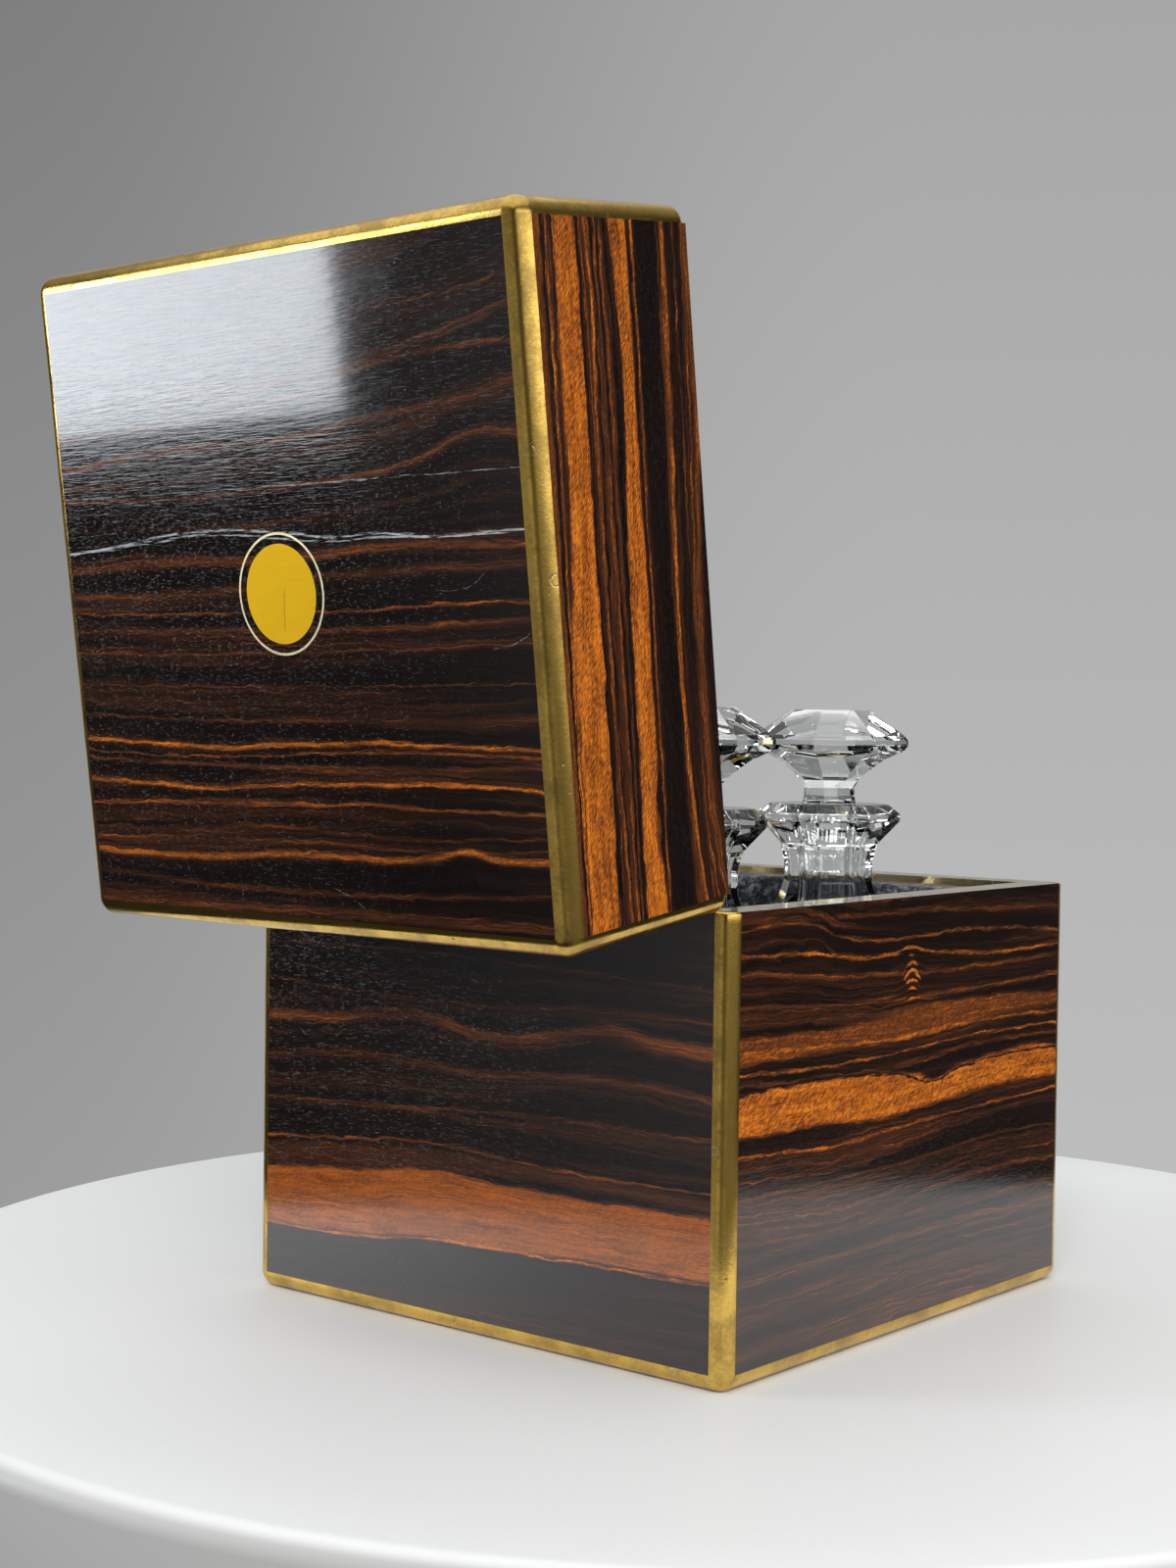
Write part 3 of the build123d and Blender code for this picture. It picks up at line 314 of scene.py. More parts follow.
    # pale marks: splits that caught wax, scratches, and open pores in the worn polish
    broken = finish.noise(place, (7.0, 0.5, 9.0), detail=3.0, roughness=0.7, seed=seed + 19.0)
    marked = 0.0
    for line, half, strength in marks:
        near = 1.0 - abs(across + 2.2 * ragged - path(line)).step(0.25 * half, half)
        within = (along - line[0][0]).step(-0.5, 1.5) * (line[-1][0] - along).step(-0.5, 1.5)
        marked = (near * within * strength * broken.step(0.42, 0.55)).larger(marked)
    for (start, end), (top, bottom), strength in waxed:
        inside = (along - start).step(-12.0, 12.0) * (end - along).step(-20.0, 20.0)
        inside = inside * (across - top).step(-4.0, 4.0) * (bottom - across).step(-8.0, 8.0)
        dashes = finish.noise(place, (6.5, 0.22, 9.0), detail=0.0, seed=seed + 21.0)
        marked = (inside * dashes.step(0.66, 0.84) * strength).larger(marked)
    colour = finish.mix(marked, colour, (0.5, 0.53, 0.53)) if marks or waxed else colour

    # fine scratches and rubbed patches in the polish
    rubbed = finish.noise(place, (34.0, 26.0, 9.0), detail=3.0, seed=seed + 23.0)
    turned = finish.node("ShaderNodeMapping", {"Vector": place, "Rotation": (0.0, 0.0, 0.9)})
    scratches = finish.noise(turned, (26.0, 0.11, 9.0), detail=0.0, seed=seed + 29.0)
    scratches = scratches.step(0.8, 0.84) * rubbed.step(0.54, 0.66)
    waves = finish.noise(place, (17.0, 2.0, 9.0), detail=2.5, roughness=0.7, seed=seed + 31.0)
    colour = finish.mix(0.14 * scratches, colour, (0.25, 0.25, 0.27))
    sunk = finish.noise(place, (11.0, 0.5, 9.0), detail=2.0, seed=seed + 33.0).step(0.4, 0.66)
    finish.set({"Base Color": colour, "Coat Weight": 0.8 - 0.14 * sunk,
                "Roughness": 0.065 + 0.05 * rubbed.step(0.4, 0.8) + 0.12 * scratches + 0.1 * pores})
    finish.bump(waves * 1.3 - 0.16 * sunk - 0.25 * pores + 0.3 * lines, 0.00003)
    finish.wear(sheet)


LID_TOP_ORANGE = [
    ([(0, 163.5), (50, 165), (80, 166), (110, 164.5), (165, 163.4), (229, 165)], 1.0, 0.79),
    ([(0, 167.5), (80, 169), (140, 166.5), (180, 166), (229, 167.5)], 0.5, 0.68),
    ([(0, 170.5), (60, 171.5), (120, 172), (229, 170)], 1.3, 0.5),
    ([(0, 178), (40, 179), (70, 180), (110, 178), (165, 176.4), (195, 176), (229, 178)],
     0.95, 0.76),
    ([(0, 187), (50, 185.6), (90, 185), (130, 184), (150, 183), (180, 184), (229, 183.8)],
     0.9, 0.71),
    ([(0, 193), (100, 192), (160, 194), (229, 191)], 0.7, 0.42),
    ([(0, 199), (110, 197), (190, 197.5), (229, 195)], 0.6, 0.5),
    ([(0, 204), (75, 203.6), (100, 201.6), (175, 200), (190, 197.2), (200, 199), (229, 198.4)],
     1.5, 0.78),
    ([(0, 211), (100, 214), (229, 209)], 1.3, 0.44),
    ([(0, 223), (90, 221), (229, 219.5)], 2.2, 0.5)]
LID_TOP_BROWN = [
    ([(0, 28), (120, 27), (190, 26), (229, 22)], 0.6, 0.48),
    ([(0, 50), (130, 46), (190, 39), (229, 30)], 1.2, 0.44),
    ([(0, 58), (120, 52), (180, 43), (229, 42)], 1.4, 0.5),
    ([(0, 69), (60, 65), (130, 64), (160, 61), (190, 59), (229, 52)], 1.8, 0.5),
    ([(0, 79), (120, 80), (185, 74), (200, 69), (229, 71)], 1.2, 0.52),
    ([(0, 104), (60, 103), (110, 104), (170, 101), (229, 103)], 1.8, 0.56),
    ([(0, 112), (60, 114), (130, 110), (229, 108)], 2.6, 0.44),
    ([(0, 119), (80, 120.4), (140, 121), (170, 120), (229, 119)], 0.7, 0.62),
    ([(0, 125.5), (70, 126), (140, 127), (229, 124)], 1.4, 0.5),
    ([(0, 133), (120, 134), (229, 131.5)], 0.5, 0.48),
    ([(0, 144.5), (130, 145), (229, 144)], 0.5, 0.5),
    ([(0, 155), (110, 156.5), (229, 155)], 0.8, 0.48)]
veneer("lid_top_coromandel", "lid_top_veneer", True, ("-x", "y"), WIDE,
       streaks=LID_TOP_BROWN + LID_TOP_ORANGE,
       marks=[([(0, 98), (30, 96.3), (70, 92.6), (115, 94.2), (140, 97), (160, 96.4), (185, 98.4),
                (229, 97.6)], 0.62, 1.0),
              ([(25, 97.2), (50, 95.4), (75, 93.8), (110, 95.6), (130, 97.8), (170, 98.0),
                (195, 98.8), (210, 98)], 0.42, 0.85),
              ([(0, 78.2), (60, 79), (229, 79.4)], 0.2, 0.6),
              ([(206, 133.6), (218, 131), (229, 124)], 0.2, 0.4),
              ([(186, 115), (196, 115), (206, 110)], 0.16, 0.3),
              ([(128, 212), (135, 214.4), (142, 218.6)], 0.16, 0.3)],
       waxed=[((0, 150), (60, 84), 0.42), ((150, 229), (8, 70), 0.14)],
       flow=(1, 4, 5, 8, 11, 12, 15, 16, 19, 21), seed=1.0, ground=(0.06, 0.34))
veneer("lid_side_coromandel", "lid_left_veneer", True, ("y", "-z"), LID_HIGH,
       bands=[([(0, 0), (229, 0)], [(0, 9.5), (110, 9), (229, 7.5)], 0.56, 0.8),
              ([(0, 15), (60, 15), (110, 13.5), (140, 10), (229, 9)],
               [(0, 25), (110, 26.2), (150, 25.6), (229, 23.6)], 0.8, 0.9),
              ([(0, 28.2), (229, 27)], [(0, 33), (60, 37), (110, 38.5), (229, 37)], 0.46, 1.0),
              ([(0, 41), (50, 43.6), (110, 40), (150, 39), (200, 38.4), (229, 38)],
               [(0, 50), (110, 49), (150, 48), (178, 47.6), (190, 45.2), (200, 45), (208, 47.4),
                (229, 48)], 0.78, 0.8),
              ([(0, 53.5), (229, 51)], [(0, 65), (110, 62), (229, 63)], 0.13, 1.5)],
       streaks=[([(0, 11.8), (100, 11), (229, 8)], 0.7, 0.75), ([(0, 13.4), (229, 10)], 0.4, 0.5),
                ([(0, 10.4), (229, 8.4)], 0.5, 0.12), ([(0, 26.4), (229, 24.6)], 0.7, 0.1),
                ([(0, 30), (30, 31), (60, 30), (229, 30)], 0.9, 0.7),
                ([(0, 33.8), (60, 32.4), (150, 29.5), (229, 31.5)], 0.6, 0.08),
                ([(0, 36), (110, 35.5), (229, 34.5)], 0.6, 0.1),
                ([(0, 27.6), (120, 28.4), (229, 26)], 0.35, 0.64),
                ([(0, 31.6), (90, 33.6), (229, 32.6)], 0.4, 0.66),
                ([(0, 34.8), (110, 34.4), (229, 33.6)], 0.35, 0.6),
                ([(0, 37.4), (80, 37.2), (229, 35.6)], 0.4, 0.62),
                ([(0, 39), (50, 40.6), (110, 38.6), (229, 36.6)], 0.9, 0.08),
                ([(0, 52.6), (60, 52.4), (110, 51), (229, 49.4)], 0.5, 0.68),
                ([(0, 68), (50, 67), (100, 65), (150, 63), (180, 64.4), (200, 66), (229, 70)],
                 1.3, 0.78),
                ([(0, 73.4), (130, 72), (229, 73)], 0.6, 0.5)],
       flow=(0, 5, 11, 13), seed=2.0, ground=(0.2, 0.52), mottled=1.0)
veneer("base_rear_coromandel", "base_rear_veneer", False, ("-x", "-z"), BASE_HIGH,
       bands=[([(0, 113), (30, 110), (60, 107), (90, 103), (130, 103.5), (229, 102)],
               [(0, 134), (30, 133.6), (60, 132), (90, 128.5), (130, 128), (160, 125.5),
                (229, 124)], 0.69, 1.2),
              ([(0, 104), (60, 98), (90, 96), (229, 96)],
               [(0, 112), (60, 106), (90, 102.6), (229, 101)], 0.4, 1.2)],
       streaks=[([(0, 25), (60, 23), (229, 27)], 1.2, 0.42),
                ([(0, 38), (140, 40), (165, 38), (229, 38)], 0.8, 0.45),
                ([(0, 54), (15, 52.5), (45, 51), (60, 48.6), (95, 47), (112, 50.2), (130, 51),
                  (150, 48.6), (180, 43.4), (195, 45.4), (229, 48)], 3.3, 0.64),
                ([(0, 70), (30, 66.5), (60, 64), (115, 65), (180, 61), (229, 64)], 2.2, 0.46),
                ([(0, 85), (60, 83), (85, 81), (110, 79), (229, 77)], 1.2, 0.44),
                ([(0, 101), (30, 98.4), (60, 95.4), (90, 93), (110, 93), (125, 94), (229, 94)],
                 0.7, 0.6),
                ([(0, 134.6), (30, 134), (60, 132.6), (95, 128.8), (160, 126.4), (229, 124.6)],
                 0.6, 0.8)],
       flow=(1, 2, 3, 5, 6), seed=3.0, ground=(0.08, 0.3), mottled=0.3, haze=0.13)
veneer("base_side_coromandel", "base_left_veneer", False, ("-y", "-z"), BASE_HIGH,
       bands=[([(0, 42), (90, 43), (115, 41), (170, 40.5), (229, 44)],
               [(0, 52), (60, 52), (110, 52.5), (170, 49), (229, 48)], 0.6, 1.3),
              ([(0, 62), (50, 61), (100, 63), (118, 66), (130, 69), (145, 66), (175, 64), (205, 63),
                (229, 68)], [(0, 76), (50, 77), (100, 79.5), (130, 78), (170, 76), (229, 77)],
               0.8, 1.3)],
       streaks=[([(0, 8), (50, 7), (65, 12), (100, 15), (150, 14), (229, 19)], 0.9, 0.6),
                ([(0, 4), (90, 5), (125, 5), (150, 6.5), (229, 8)], 1.4, 0.48),
                ([(0, 15), (30, 16), (50, 17), (75, 20), (100, 20.4), (112, 18.6), (122, 20.5),
                  (229, 24)], 0.85, 0.78),
                ([(0, 20.5), (40, 23.5), (60, 25.5), (229, 28)], 1.1, 0.58),
                ([(0, 32), (40, 34.2), (75, 36), (229, 36)], 1.2, 0.58),
                ([(0, 47.5), (60, 50), (100, 51.5), (165, 50), (229, 51)], 0.9, 0.72),
                ([(0, 54.6), (50, 56.6), (100, 56.4), (160, 55), (229, 56)], 0.7, 0.74),
                ([(0, 58), (120, 61), (160, 58.5), (229, 60)], 1.2, 0.5),
                ([(0, 62), (100, 63.6), (130, 69.8), (145, 67), (229, 66)], 0.45, 0.25),
                ([(0, 82), (40, 84), (60, 85.4), (100, 84), (229, 82)], 0.7, 0.72),
                ([(0, 96), (100, 97.6), (200, 95.6), (229, 98)], 0.8, 0.5),
                ([(0, 110.5), (30, 112.6), (60, 115), (100, 114), (130, 110), (170, 108.4),
                  (229, 110)], 2.0, 0.46),
                ([(0, 118), (80, 116.6), (130, 117.4), (229, 120)], 1.6, 0.4),
                ([(0, 125.6), (50, 125), (100, 124), (229, 127)], 1.6, 0.46),
                ([(0, 137), (150, 136), (229, 139)], 0.8, 0.42)],
       knots=[((113.0, 30.0), (6.0, 8.6))], flow=(0, 2, 5, 9, 11, 13), seed=4.0,
       ground=(0.15, 0.42), mottled=0.9, haze=0.13)
veneer("base_front_coromandel", "base_front_veneer", False, ("x", "-z"), BASE_HIGH,
       bands=[([(0, 56), (80, 61), (150, 58), (229, 52)], [(0, 68), (80, 75), (150, 70), (229, 66)],
               0.78, 1.0),
              ([(0, 108), (100, 104), (229, 112)], [(0, 121), (100, 114), (229, 124)], 0.5, 1.4)],
       streaks=[([(0, 18), (70, 14), (160, 19), (229, 17)], 1.2, 0.6),
                ([(0, 33), (90, 38), (229, 30)], 1.6, 0.66),
                ([(0, 84), (120, 87), (229, 80)], 0.8, 0.8),
                ([(0, 95), (110, 93), (229, 97)], 1.0, 0.5), ([(0, 136), (229, 131)], 0.9, 0.7)],
       flow=(0, 1, 2, 4), seed=5.0, ground=(0.09, 0.4))
veneer("base_right_coromandel", "base_right_veneer", False, ("y", "-z"), BASE_HIGH,
       bands=[([(0, 38), (90, 33), (229, 41)], [(0, 47), (90, 45), (229, 49)], 0.62, 1.2),
              ([(0, 88), (60, 85), (150, 91), (229, 86)],
               [(0, 101), (60, 97), (150, 106), (229, 99)], 0.84, 0.8)],
       streaks=[([(0, 12), (229, 16)], 1.0, 0.6), ([(0, 24), (120, 21), (229, 27)], 0.7, 0.78),
                ([(0, 58), (110, 62), (229, 55)], 1.4, 0.6), ([(0, 70), (229, 73)], 0.8, 0.78),
                ([(0, 118), (100, 122), (229, 117)], 1.2, 0.6), ([(0, 140), (229, 143)], 1.0, 0.5)],
       flow=(0, 2, 4), seed=6.0, ground=(0.1, 0.42))
veneer("lid_front_coromandel", "lid_front_veneer", True, ("x", "-z"), LID_HIGH,
       bands=[([(0, 22), (100, 25), (229, 20)], [(0, 30), (100, 35), (229, 29)], 0.7, 1.0)],
       streaks=[([(0, 12), (229, 14)], 0.8, 0.66), ([(0, 44), (120, 47), (229, 42)], 1.0, 0.78),
                ([(0, 56), (229, 58)], 1.6, 0.5), ([(0, 68), (100, 66), (229, 70)], 0.7, 0.72)],
       flow=(1, 3), seed=7.0, ground=(0.09, 0.4))
veneer("lid_rear_coromandel", "lid_rear_veneer", True, ("-x", "-z"), LID_HIGH,
       bands=[([(0, 50), (120, 46), (229, 52)], [(0, 57), (120, 55), (229, 60)], 0.6, 1.2)],
       streaks=[([(0, 16), (120, 19), (229, 15)], 1.0, 0.6), ([(0, 34), (229, 31)], 0.7, 0.74),
                ([(0, 70), (229, 67)], 1.1, 0.62)],
       flow=(0, 1), seed=8.0, ground=(0.07, 0.36))
veneer("lid_right_coromandel", "lid_right_veneer", True, ("y", "-z"), LID_HIGH,
       bands=[([(0, 26), (110, 23), (229, 28)], [(0, 36), (110, 36), (229, 39)], 0.85, 0.8)],
       streaks=[([(0, 11), (229, 13)], 0.8, 0.7), ([(0, 47), (100, 50), (229, 45)], 1.2, 0.72),
                ([(0, 58), (229, 61)], 0.7, 0.6), ([(0, 70), (229, 69)], 1.5, 0.5)],
       flow=(1, 3), seed=9.0, ground=(0.12, 0.46))

# ---- Brass edging ------------------------------------------------------------------------------
# Solid quarter-round brass let into the casing's edges and filed flush with the veneer. The upright
# pieces end in ball corners; the level ones butt against them, so that each joint shows as a line.
HALF = 0.1145  # half of the box's width and depth
RADIUS = 0.00635
PANEL = HALF - RADIUS
RIM = 0.161  # the base's rim
LID_RIM = 0.1612
LID_TOP = 0.242
JOINT = 0.00006  # at each butt joint
DENT = 0.00007  # the depth of the deepest dents
ARC_STEPS = 12


def aged_brass(name, bright, dull, patina, rough, rings=1.0, relief=0.55):
    """Rubbed yellow metal under an olive-brown patina, with file marks, nicks and pin heads. The
    higher patina is, the more is rubbed bright, and rings is the strength of the pin heads."""
    finish = Finish(name, Metallic=1.0)
    place = finish.place()
    clouds = finish.noise(place, (0.016, 0.016, 0.016), detail=4.0, roughness=0.65, seed=2.0)
    specks = finish.noise(place, (0.0012, 0.0012, 0.0012), detail=3.0, seed=4.0)
    cover = (clouds + 0.35 * (specks - 0.5)).step(patina - 0.16, patina + 0.2)
    colour = finish.mix(cover, bright, dull)
    cells = finish.node("ShaderNodeTexVoronoi", {"Vector": place, "Scale": 46.0})
    ring = 1.0 - abs(cells - 0.085).step(0.006, 0.016)
    spots = finish.noise(place, (0.0035, 0.0035, 0.0035), detail=1.0, seed=6.0).step(0.76, 0.82)
    colour = finish.mix(rings * 0.5 * ring, colour, (0.62, 0.55, 0.36))
    colour = finish.mix(0.7 * spots, colour, (0.06, 0.04, 0.015))
    marks = finish.noise(place, (0.0006, 0.0006, 0.0006), detail=2.0, seed=8.0)
    finish.set({"Base Color": colour, "Roughness": rough + 0.12 * cover + 0.3 * spots})
    finish.bump(marks * 0.25 + specks * 0.35 - spots * 0.8 - 0.5 * rings * ring, 0.00008, relief)
    return finish


edging_brass = aged_brass("edging_brass", (0.8, 0.52, 0.115), (0.47, 0.3, 0.075), 0.5, 0.13)


def merged(name, places, faces, finish, sharp=35.0):
    """A closed mesh: doubles merged, faces outwards, edges sharper than the angle kept crisp."""
    mesh = bpy.data.meshes.new(name)
    mesh.from_pydata(places, [], faces)
    shell = bmesh.new()
    shell.from_mesh(mesh)
    bmesh.ops.remove_doubles(shell, verts=shell.verts, dist=1e-6)
    bmesh.ops.dissolve_degenerate(shell, edges=shell.edges, dist=1e-7)
    bmesh.ops.recalc_face_normals(shell, faces=shell.faces)
    shell.to_mesh(mesh)
    shell.free()
    mesh.polygons.foreach_set("use_smooth", [True] * len(mesh.polygons))
    mesh.set_sharp_from_angle(angle=math.radians(sharp))
    mesh.materials.append(finish.material)
    piece = bpy.data.objects.new(name, mesh)
    bpy.context.scene.collection.objects.link(piece)
    return piece


def lattice(rows, columns, first=0, wrap=False):
    """Quads of a grid whose points are numbered row by row; wrap joins the last column on."""
    row, column = np.meshgrid(np.arange(rows - 1), np.arange(columns - (not wrap)), indexing="ij")
    a = first + row * columns + column
    b = first + row * columns + (column + 1) % columns
    return np.stack([a, b, b + columns, a + columns], -1).reshape(-1, 4).tolist()


def value_noise(points, size, seed):
    """Smooth noise from -1 to 1: random numbers on a lattice of the given pitch, and between them
    the cubic fade 3t^2 - 2t^3 along each axis."""
    scaled = points / size
    corner = np.floor(scaled).astype(int)
    part = scaled - corner
    part = part * part * (3.0 - 2.0 * part)
    total = np.zeros(points.shape[:-1])
    for steps in np.ndindex(2, 2, 2):
        cell = corner + np.array(steps)
        mixed = cell[..., 0] * 374761393 + cell[..., 1] * 668265263 + cell[..., 2] * 2147483647
        mixed = (mixed + seed * 974634777) & 0xFFFFFFFF
        mixed = ((mixed ^ (mixed >> 13)) * 1274126177) & 0xFFFFFFFF
        weight = np.prod(np.where(np.array(steps), part, 1.0 - part), axis=-1)
        total += weight * (((mixed ^ (mixed >> 16)) & 0xFFFF) / 32767.5 - 1.0)
    return total


def opened(points):
    """Turns points of the shut lid about the hinge line to where they are when it is open."""
    turn = math.radians(-LID_OPEN)
    y, z = points[..., 1] - HINGE_LINE[1], points[..., 2] - HINGE_LINE[2]
    return np.stack([points[..., 0], HINGE_LINE[1] + y * math.cos(turn) - z * math.sin(turn),
                     HINGE_LINE[2] + y * math.sin(turn) + z * math.cos(turn)], -1)


def sector(apex, axis, out_a, out_b, heights, radii, seed):
    """A quarter of a turned bar. At each height along the axis from the apex, a point lies at
    radius * (cos t * out_a + sin t * out_b) with t from 0 to 90 degrees; shallow dents lower the
    middle of the arc. Two flat sides and two ends close it."""
    apex, axis, out_a, out_b = (np.array(v, float) for v in (apex, axis, out_a, out_b))
    t = np.linspace(0.0, math.pi / 2, ARC_STEPS + 1)
    ring = np.cos(t)[:, None] * out_a + np.sin(t)[:, None] * out_b
    line = apex + np.array(heights)[:, None] * axis
    skin = line[:, None] + np.array(radii)[:, None, None] * ring
    dent = 0.5 + 0.5 * value_noise(skin, 0.011, seed) + 0.35 * value_noise(skin, 0.003, seed + 1)
    depth = DENT * np.clip(dent, 0.0, 1.0) ** 2 * np.sin(2 * t) ** 0.5
    skin = skin - depth[..., None] * ring
    grid = np.concatenate([line[:, None], skin], axis=1)
    return grid.reshape(-1, 3), len(heights), ARC_STEPS + 2


def sector_faces(rows, columns, first):
    """The quads of a sector's skin and of its flat sides, and its two ends."""
    faces = lattice(rows, columns, first, wrap=True)
    faces.append(list(range(first, first + columns)))
    last = first + (rows - 1) * columns
    faces.append(list(range(last, last + columns)))
    return faces


def edging(name, node, body, places, faces):
    """Joins mouldings into one piece."""
    piece = merged(name, np.concatenate(places), faces, edging_brass)
    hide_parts(node)
    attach(piece, body)


def corner_bars(name, node, body, ball_z, rim_z, ease, place):
    """The four upright mouldings: a quarter ball at ball_z, a straight run to the rim, and the end
    at the rim eased over. Heights and radii follow quarter turns at both ends."""
    up = 1.0 if rim_z > ball_z else -1.0
    rise = abs(rim_z - ball_z)
    ball = np.linspace(0.0, math.pi / 2, 10)
    straight = np.linspace(RADIUS, rise - ease, 60)[1:]
    eased = np.linspace(0.0, math.pi / 2, 6)[1:]
    heights = np.concatenate([RADIUS - RADIUS * np.cos(ball), straight,
                              rise - ease + ease * np.sin(eased)])
    radii = np.concatenate([RADIUS * np.sin(ball), np.full(len(straight), RADIUS),
                            RADIUS - ease + ease * np.cos(eased)])
    places, faces = [], []
    for number, (sx, sy) in enumerate(((-1, -1), (-1, 1), (1, -1), (1, 1))):
        apex = (sx * PANEL, sy * PANEL, ball_z)
        points, rows, columns = sector(apex, (0, 0, up), (sx, 0, 0), (0, sy, 0), heights, radii,
                                       31 + number)
        faces += sector_faces(rows, columns, number * rows * columns)
        places.append(place(points))
    edging(name, node, body, places, faces)


def edge_bars(name, node, body, level, up, place):
    """The four level mouldings round one end of the casing, between the upright ones."""
    heights = np.linspace(JOINT, 2 * PANEL - JOINT, 110)
    radii = np.full(len(heights), RADIUS)
    places, faces = [], []
    for number, (ax, ay) in enumerate(((1, 0), (-1, 0), (0, 1), (0, -1))):
        out = np.array((ay, -ax, 0.0))
        apex = -PANEL * np.array((ax, ay, 0.0)) + PANEL * out + (0, 0, level - up * RADIUS)
        points, rows, columns = sector(apex, (ax, ay, 0), out, (0, 0, up), heights, radii,
                                       41 + number)
        faces += sector_faces(rows, columns, number * rows * columns)
        places.append(place(points))
    edging(name, node, body, places, faces)


def standing(points):
    """The base's pieces stay where they are drawn."""
    return points


corner_bars("base_corner_brass", "base_corner_mouldings", "base", 0.0, RIM, 0.001, standing)
edge_bars("base_edge_brass", "base_edge_mouldings", "base", 0.0, -1.0, standing)
corner_bars("lid_corner_brass", "lid_corner_mouldings", "lid", LID_TOP, LID_RIM, 0.003, opened)
edge_bars("lid_edge_brass", "lid_edge_mouldings", "lid", LID_TOP, 1.0, opened)

# The rims are capped with rolled brass plate, turned down 3 mm inside the box and mitred. Kept
# bright by the lid's closing, it has less patina than the edging.
aged_brass("rim_brass", (0.84, 0.68, 0.36), (0.42, 0.32, 0.14), 0.56, 0.12, rings=0.0).wear(
    "base_rim_capping", "lid_rim_capping", "lock_case", "link_plate")
aged_brass("fitting_brass", (0.8, 0.6, 0.25), (0.34, 0.25, 0.1), 0.52, 0.24, rings=0.0).wear(
    "hinge_base_leaves", "hinge_lid_leaves", "hinge_base_screws", "hinge_lid_screws", "lock_screws",
    "link_screws", "lock_cap", "escutcheon")

# ---- Cartouche ---------------------------------------------------------------------------------
# A round brass plate let into the lid's top inside a thin brass ring, with veneer between them. It
# is blank. Fine straight rubbing marks run along the grain, and one deeper scratch crosses it.
disc_brass = Finish("cartouche_brass", Metallic=1.0)
disc_x, disc_y, disc_z = closed_place(disc_brass, True)
disc_place = disc_brass.node("ShaderNodeCombineXYZ", {0: disc_x, 1: disc_y, 2: disc_z})
rubbing = disc_brass.noise(disc_place, (12.0, 0.22, 5.0), detail=4.0, roughness=0.7, seed=3.0)
clouding = disc_brass.noise(disc_place, (9.0, 5.0, 5.0), detail=3.0, seed=5.0)
scratch = 1.0 - abs(disc_x + 1.5 - 0.09 * disc_y + 0.006 * (disc_y - 6.0) ** 2.0).step(0.12, 0.45)
scratch = scratch * disc_y.step(-3.0, 0.0) * (1.0 - disc_y.step(11.0, 13.0))
disc_colour = disc_brass.mix(rubbing.step(0.3, 0.72), (0.97, 0.57, 0.014), (1.0, 0.66, 0.022))
disc_colour = disc_brass.mix(0.35 * clouding, disc_colour, (0.92, 0.62, 0.04))
disc_colour = disc_brass.mix(0.35 * scratch, disc_colour, (0.3, 0.17, 0.02))
disc_brass.set({"Base Color": disc_colour, "Roughness": 0.5 + 0.16 * rubbing + 0.1 * clouding})
disc_brass.bump(rubbing * 0.5 - scratch, 0.00006, 0.6)
disc_brass.wear("cartouche_disc")
aged_brass("ring_brass", (0.95, 0.83, 0.5), (0.85, 0.72, 0.4), 0.6, 0.42, rings=0.0,
           relief=0.1).wear("cartouche_ring")

# ---- Lining ------------------------------------------------------------------------------------
# Slate-blue silk velvet, crushed when it was pressed damp, over wadded boards: four wall pads, four
# floor pads, two crossing partitions, and a top pad and four side strips in the lid.


def crushed_velvet():
    """Dark pile laid over in patches, painted highlights as glints, painted shade in creases."""
    finish = Finish("crushed_velvet", Sheen_Weight=0.45, Sheen_Roughness=0.35,
                    Sheen_Tint=(0.55, 0.62, 0.72, 1.0), IOR=1.4)
    place = finish.place()
    warp = finish.noise(place, (0.006, 0.006, 0.006), detail=2.0, seed=3.0)
    crease = finish.node("ShaderNodeTexVoronoi", {"Vector": place, "Scale": 240.0},
                         feature="DISTANCE_TO_EDGE")
    laid = finish.noise(place, (0.0042, 0.0042, 0.003), detail=3.0, roughness=0.65, seed=5.0)
    pile = finish.noise(place, (0.0003, 0.0003, 0.0003), detail=2.0, seed=7.0)
    # painted highlight: pale glints are painted into the colour where the laid pile would catch the
    # light
    painted_glint = (laid + 0.5 * (warp - 0.5)).step(0.44, 0.74)
    colour = finish.mix(painted_glint, (0.018, 0.02, 0.023), (0.27, 0.285, 0.31))
    # painted shade: the colour darkens along the crease lines
    colour = finish.mix(0.4 * (1.0 - crease.step(0.0, 0.12)), colour, (0.007, 0.008, 0.01))
    colour = finish.mix(0.25 * pile, colour, (0.05, 0.056, 0.066))
    finish.set({"Base Color": colour, "Roughness": 0.95 - 0.4 * painted_glint})
    finish.bump(laid * 1.4 + crease * 0.6 + pile * 0.12, 0.0022, 0.9)
    return finish


velvet = crushed_velvet()


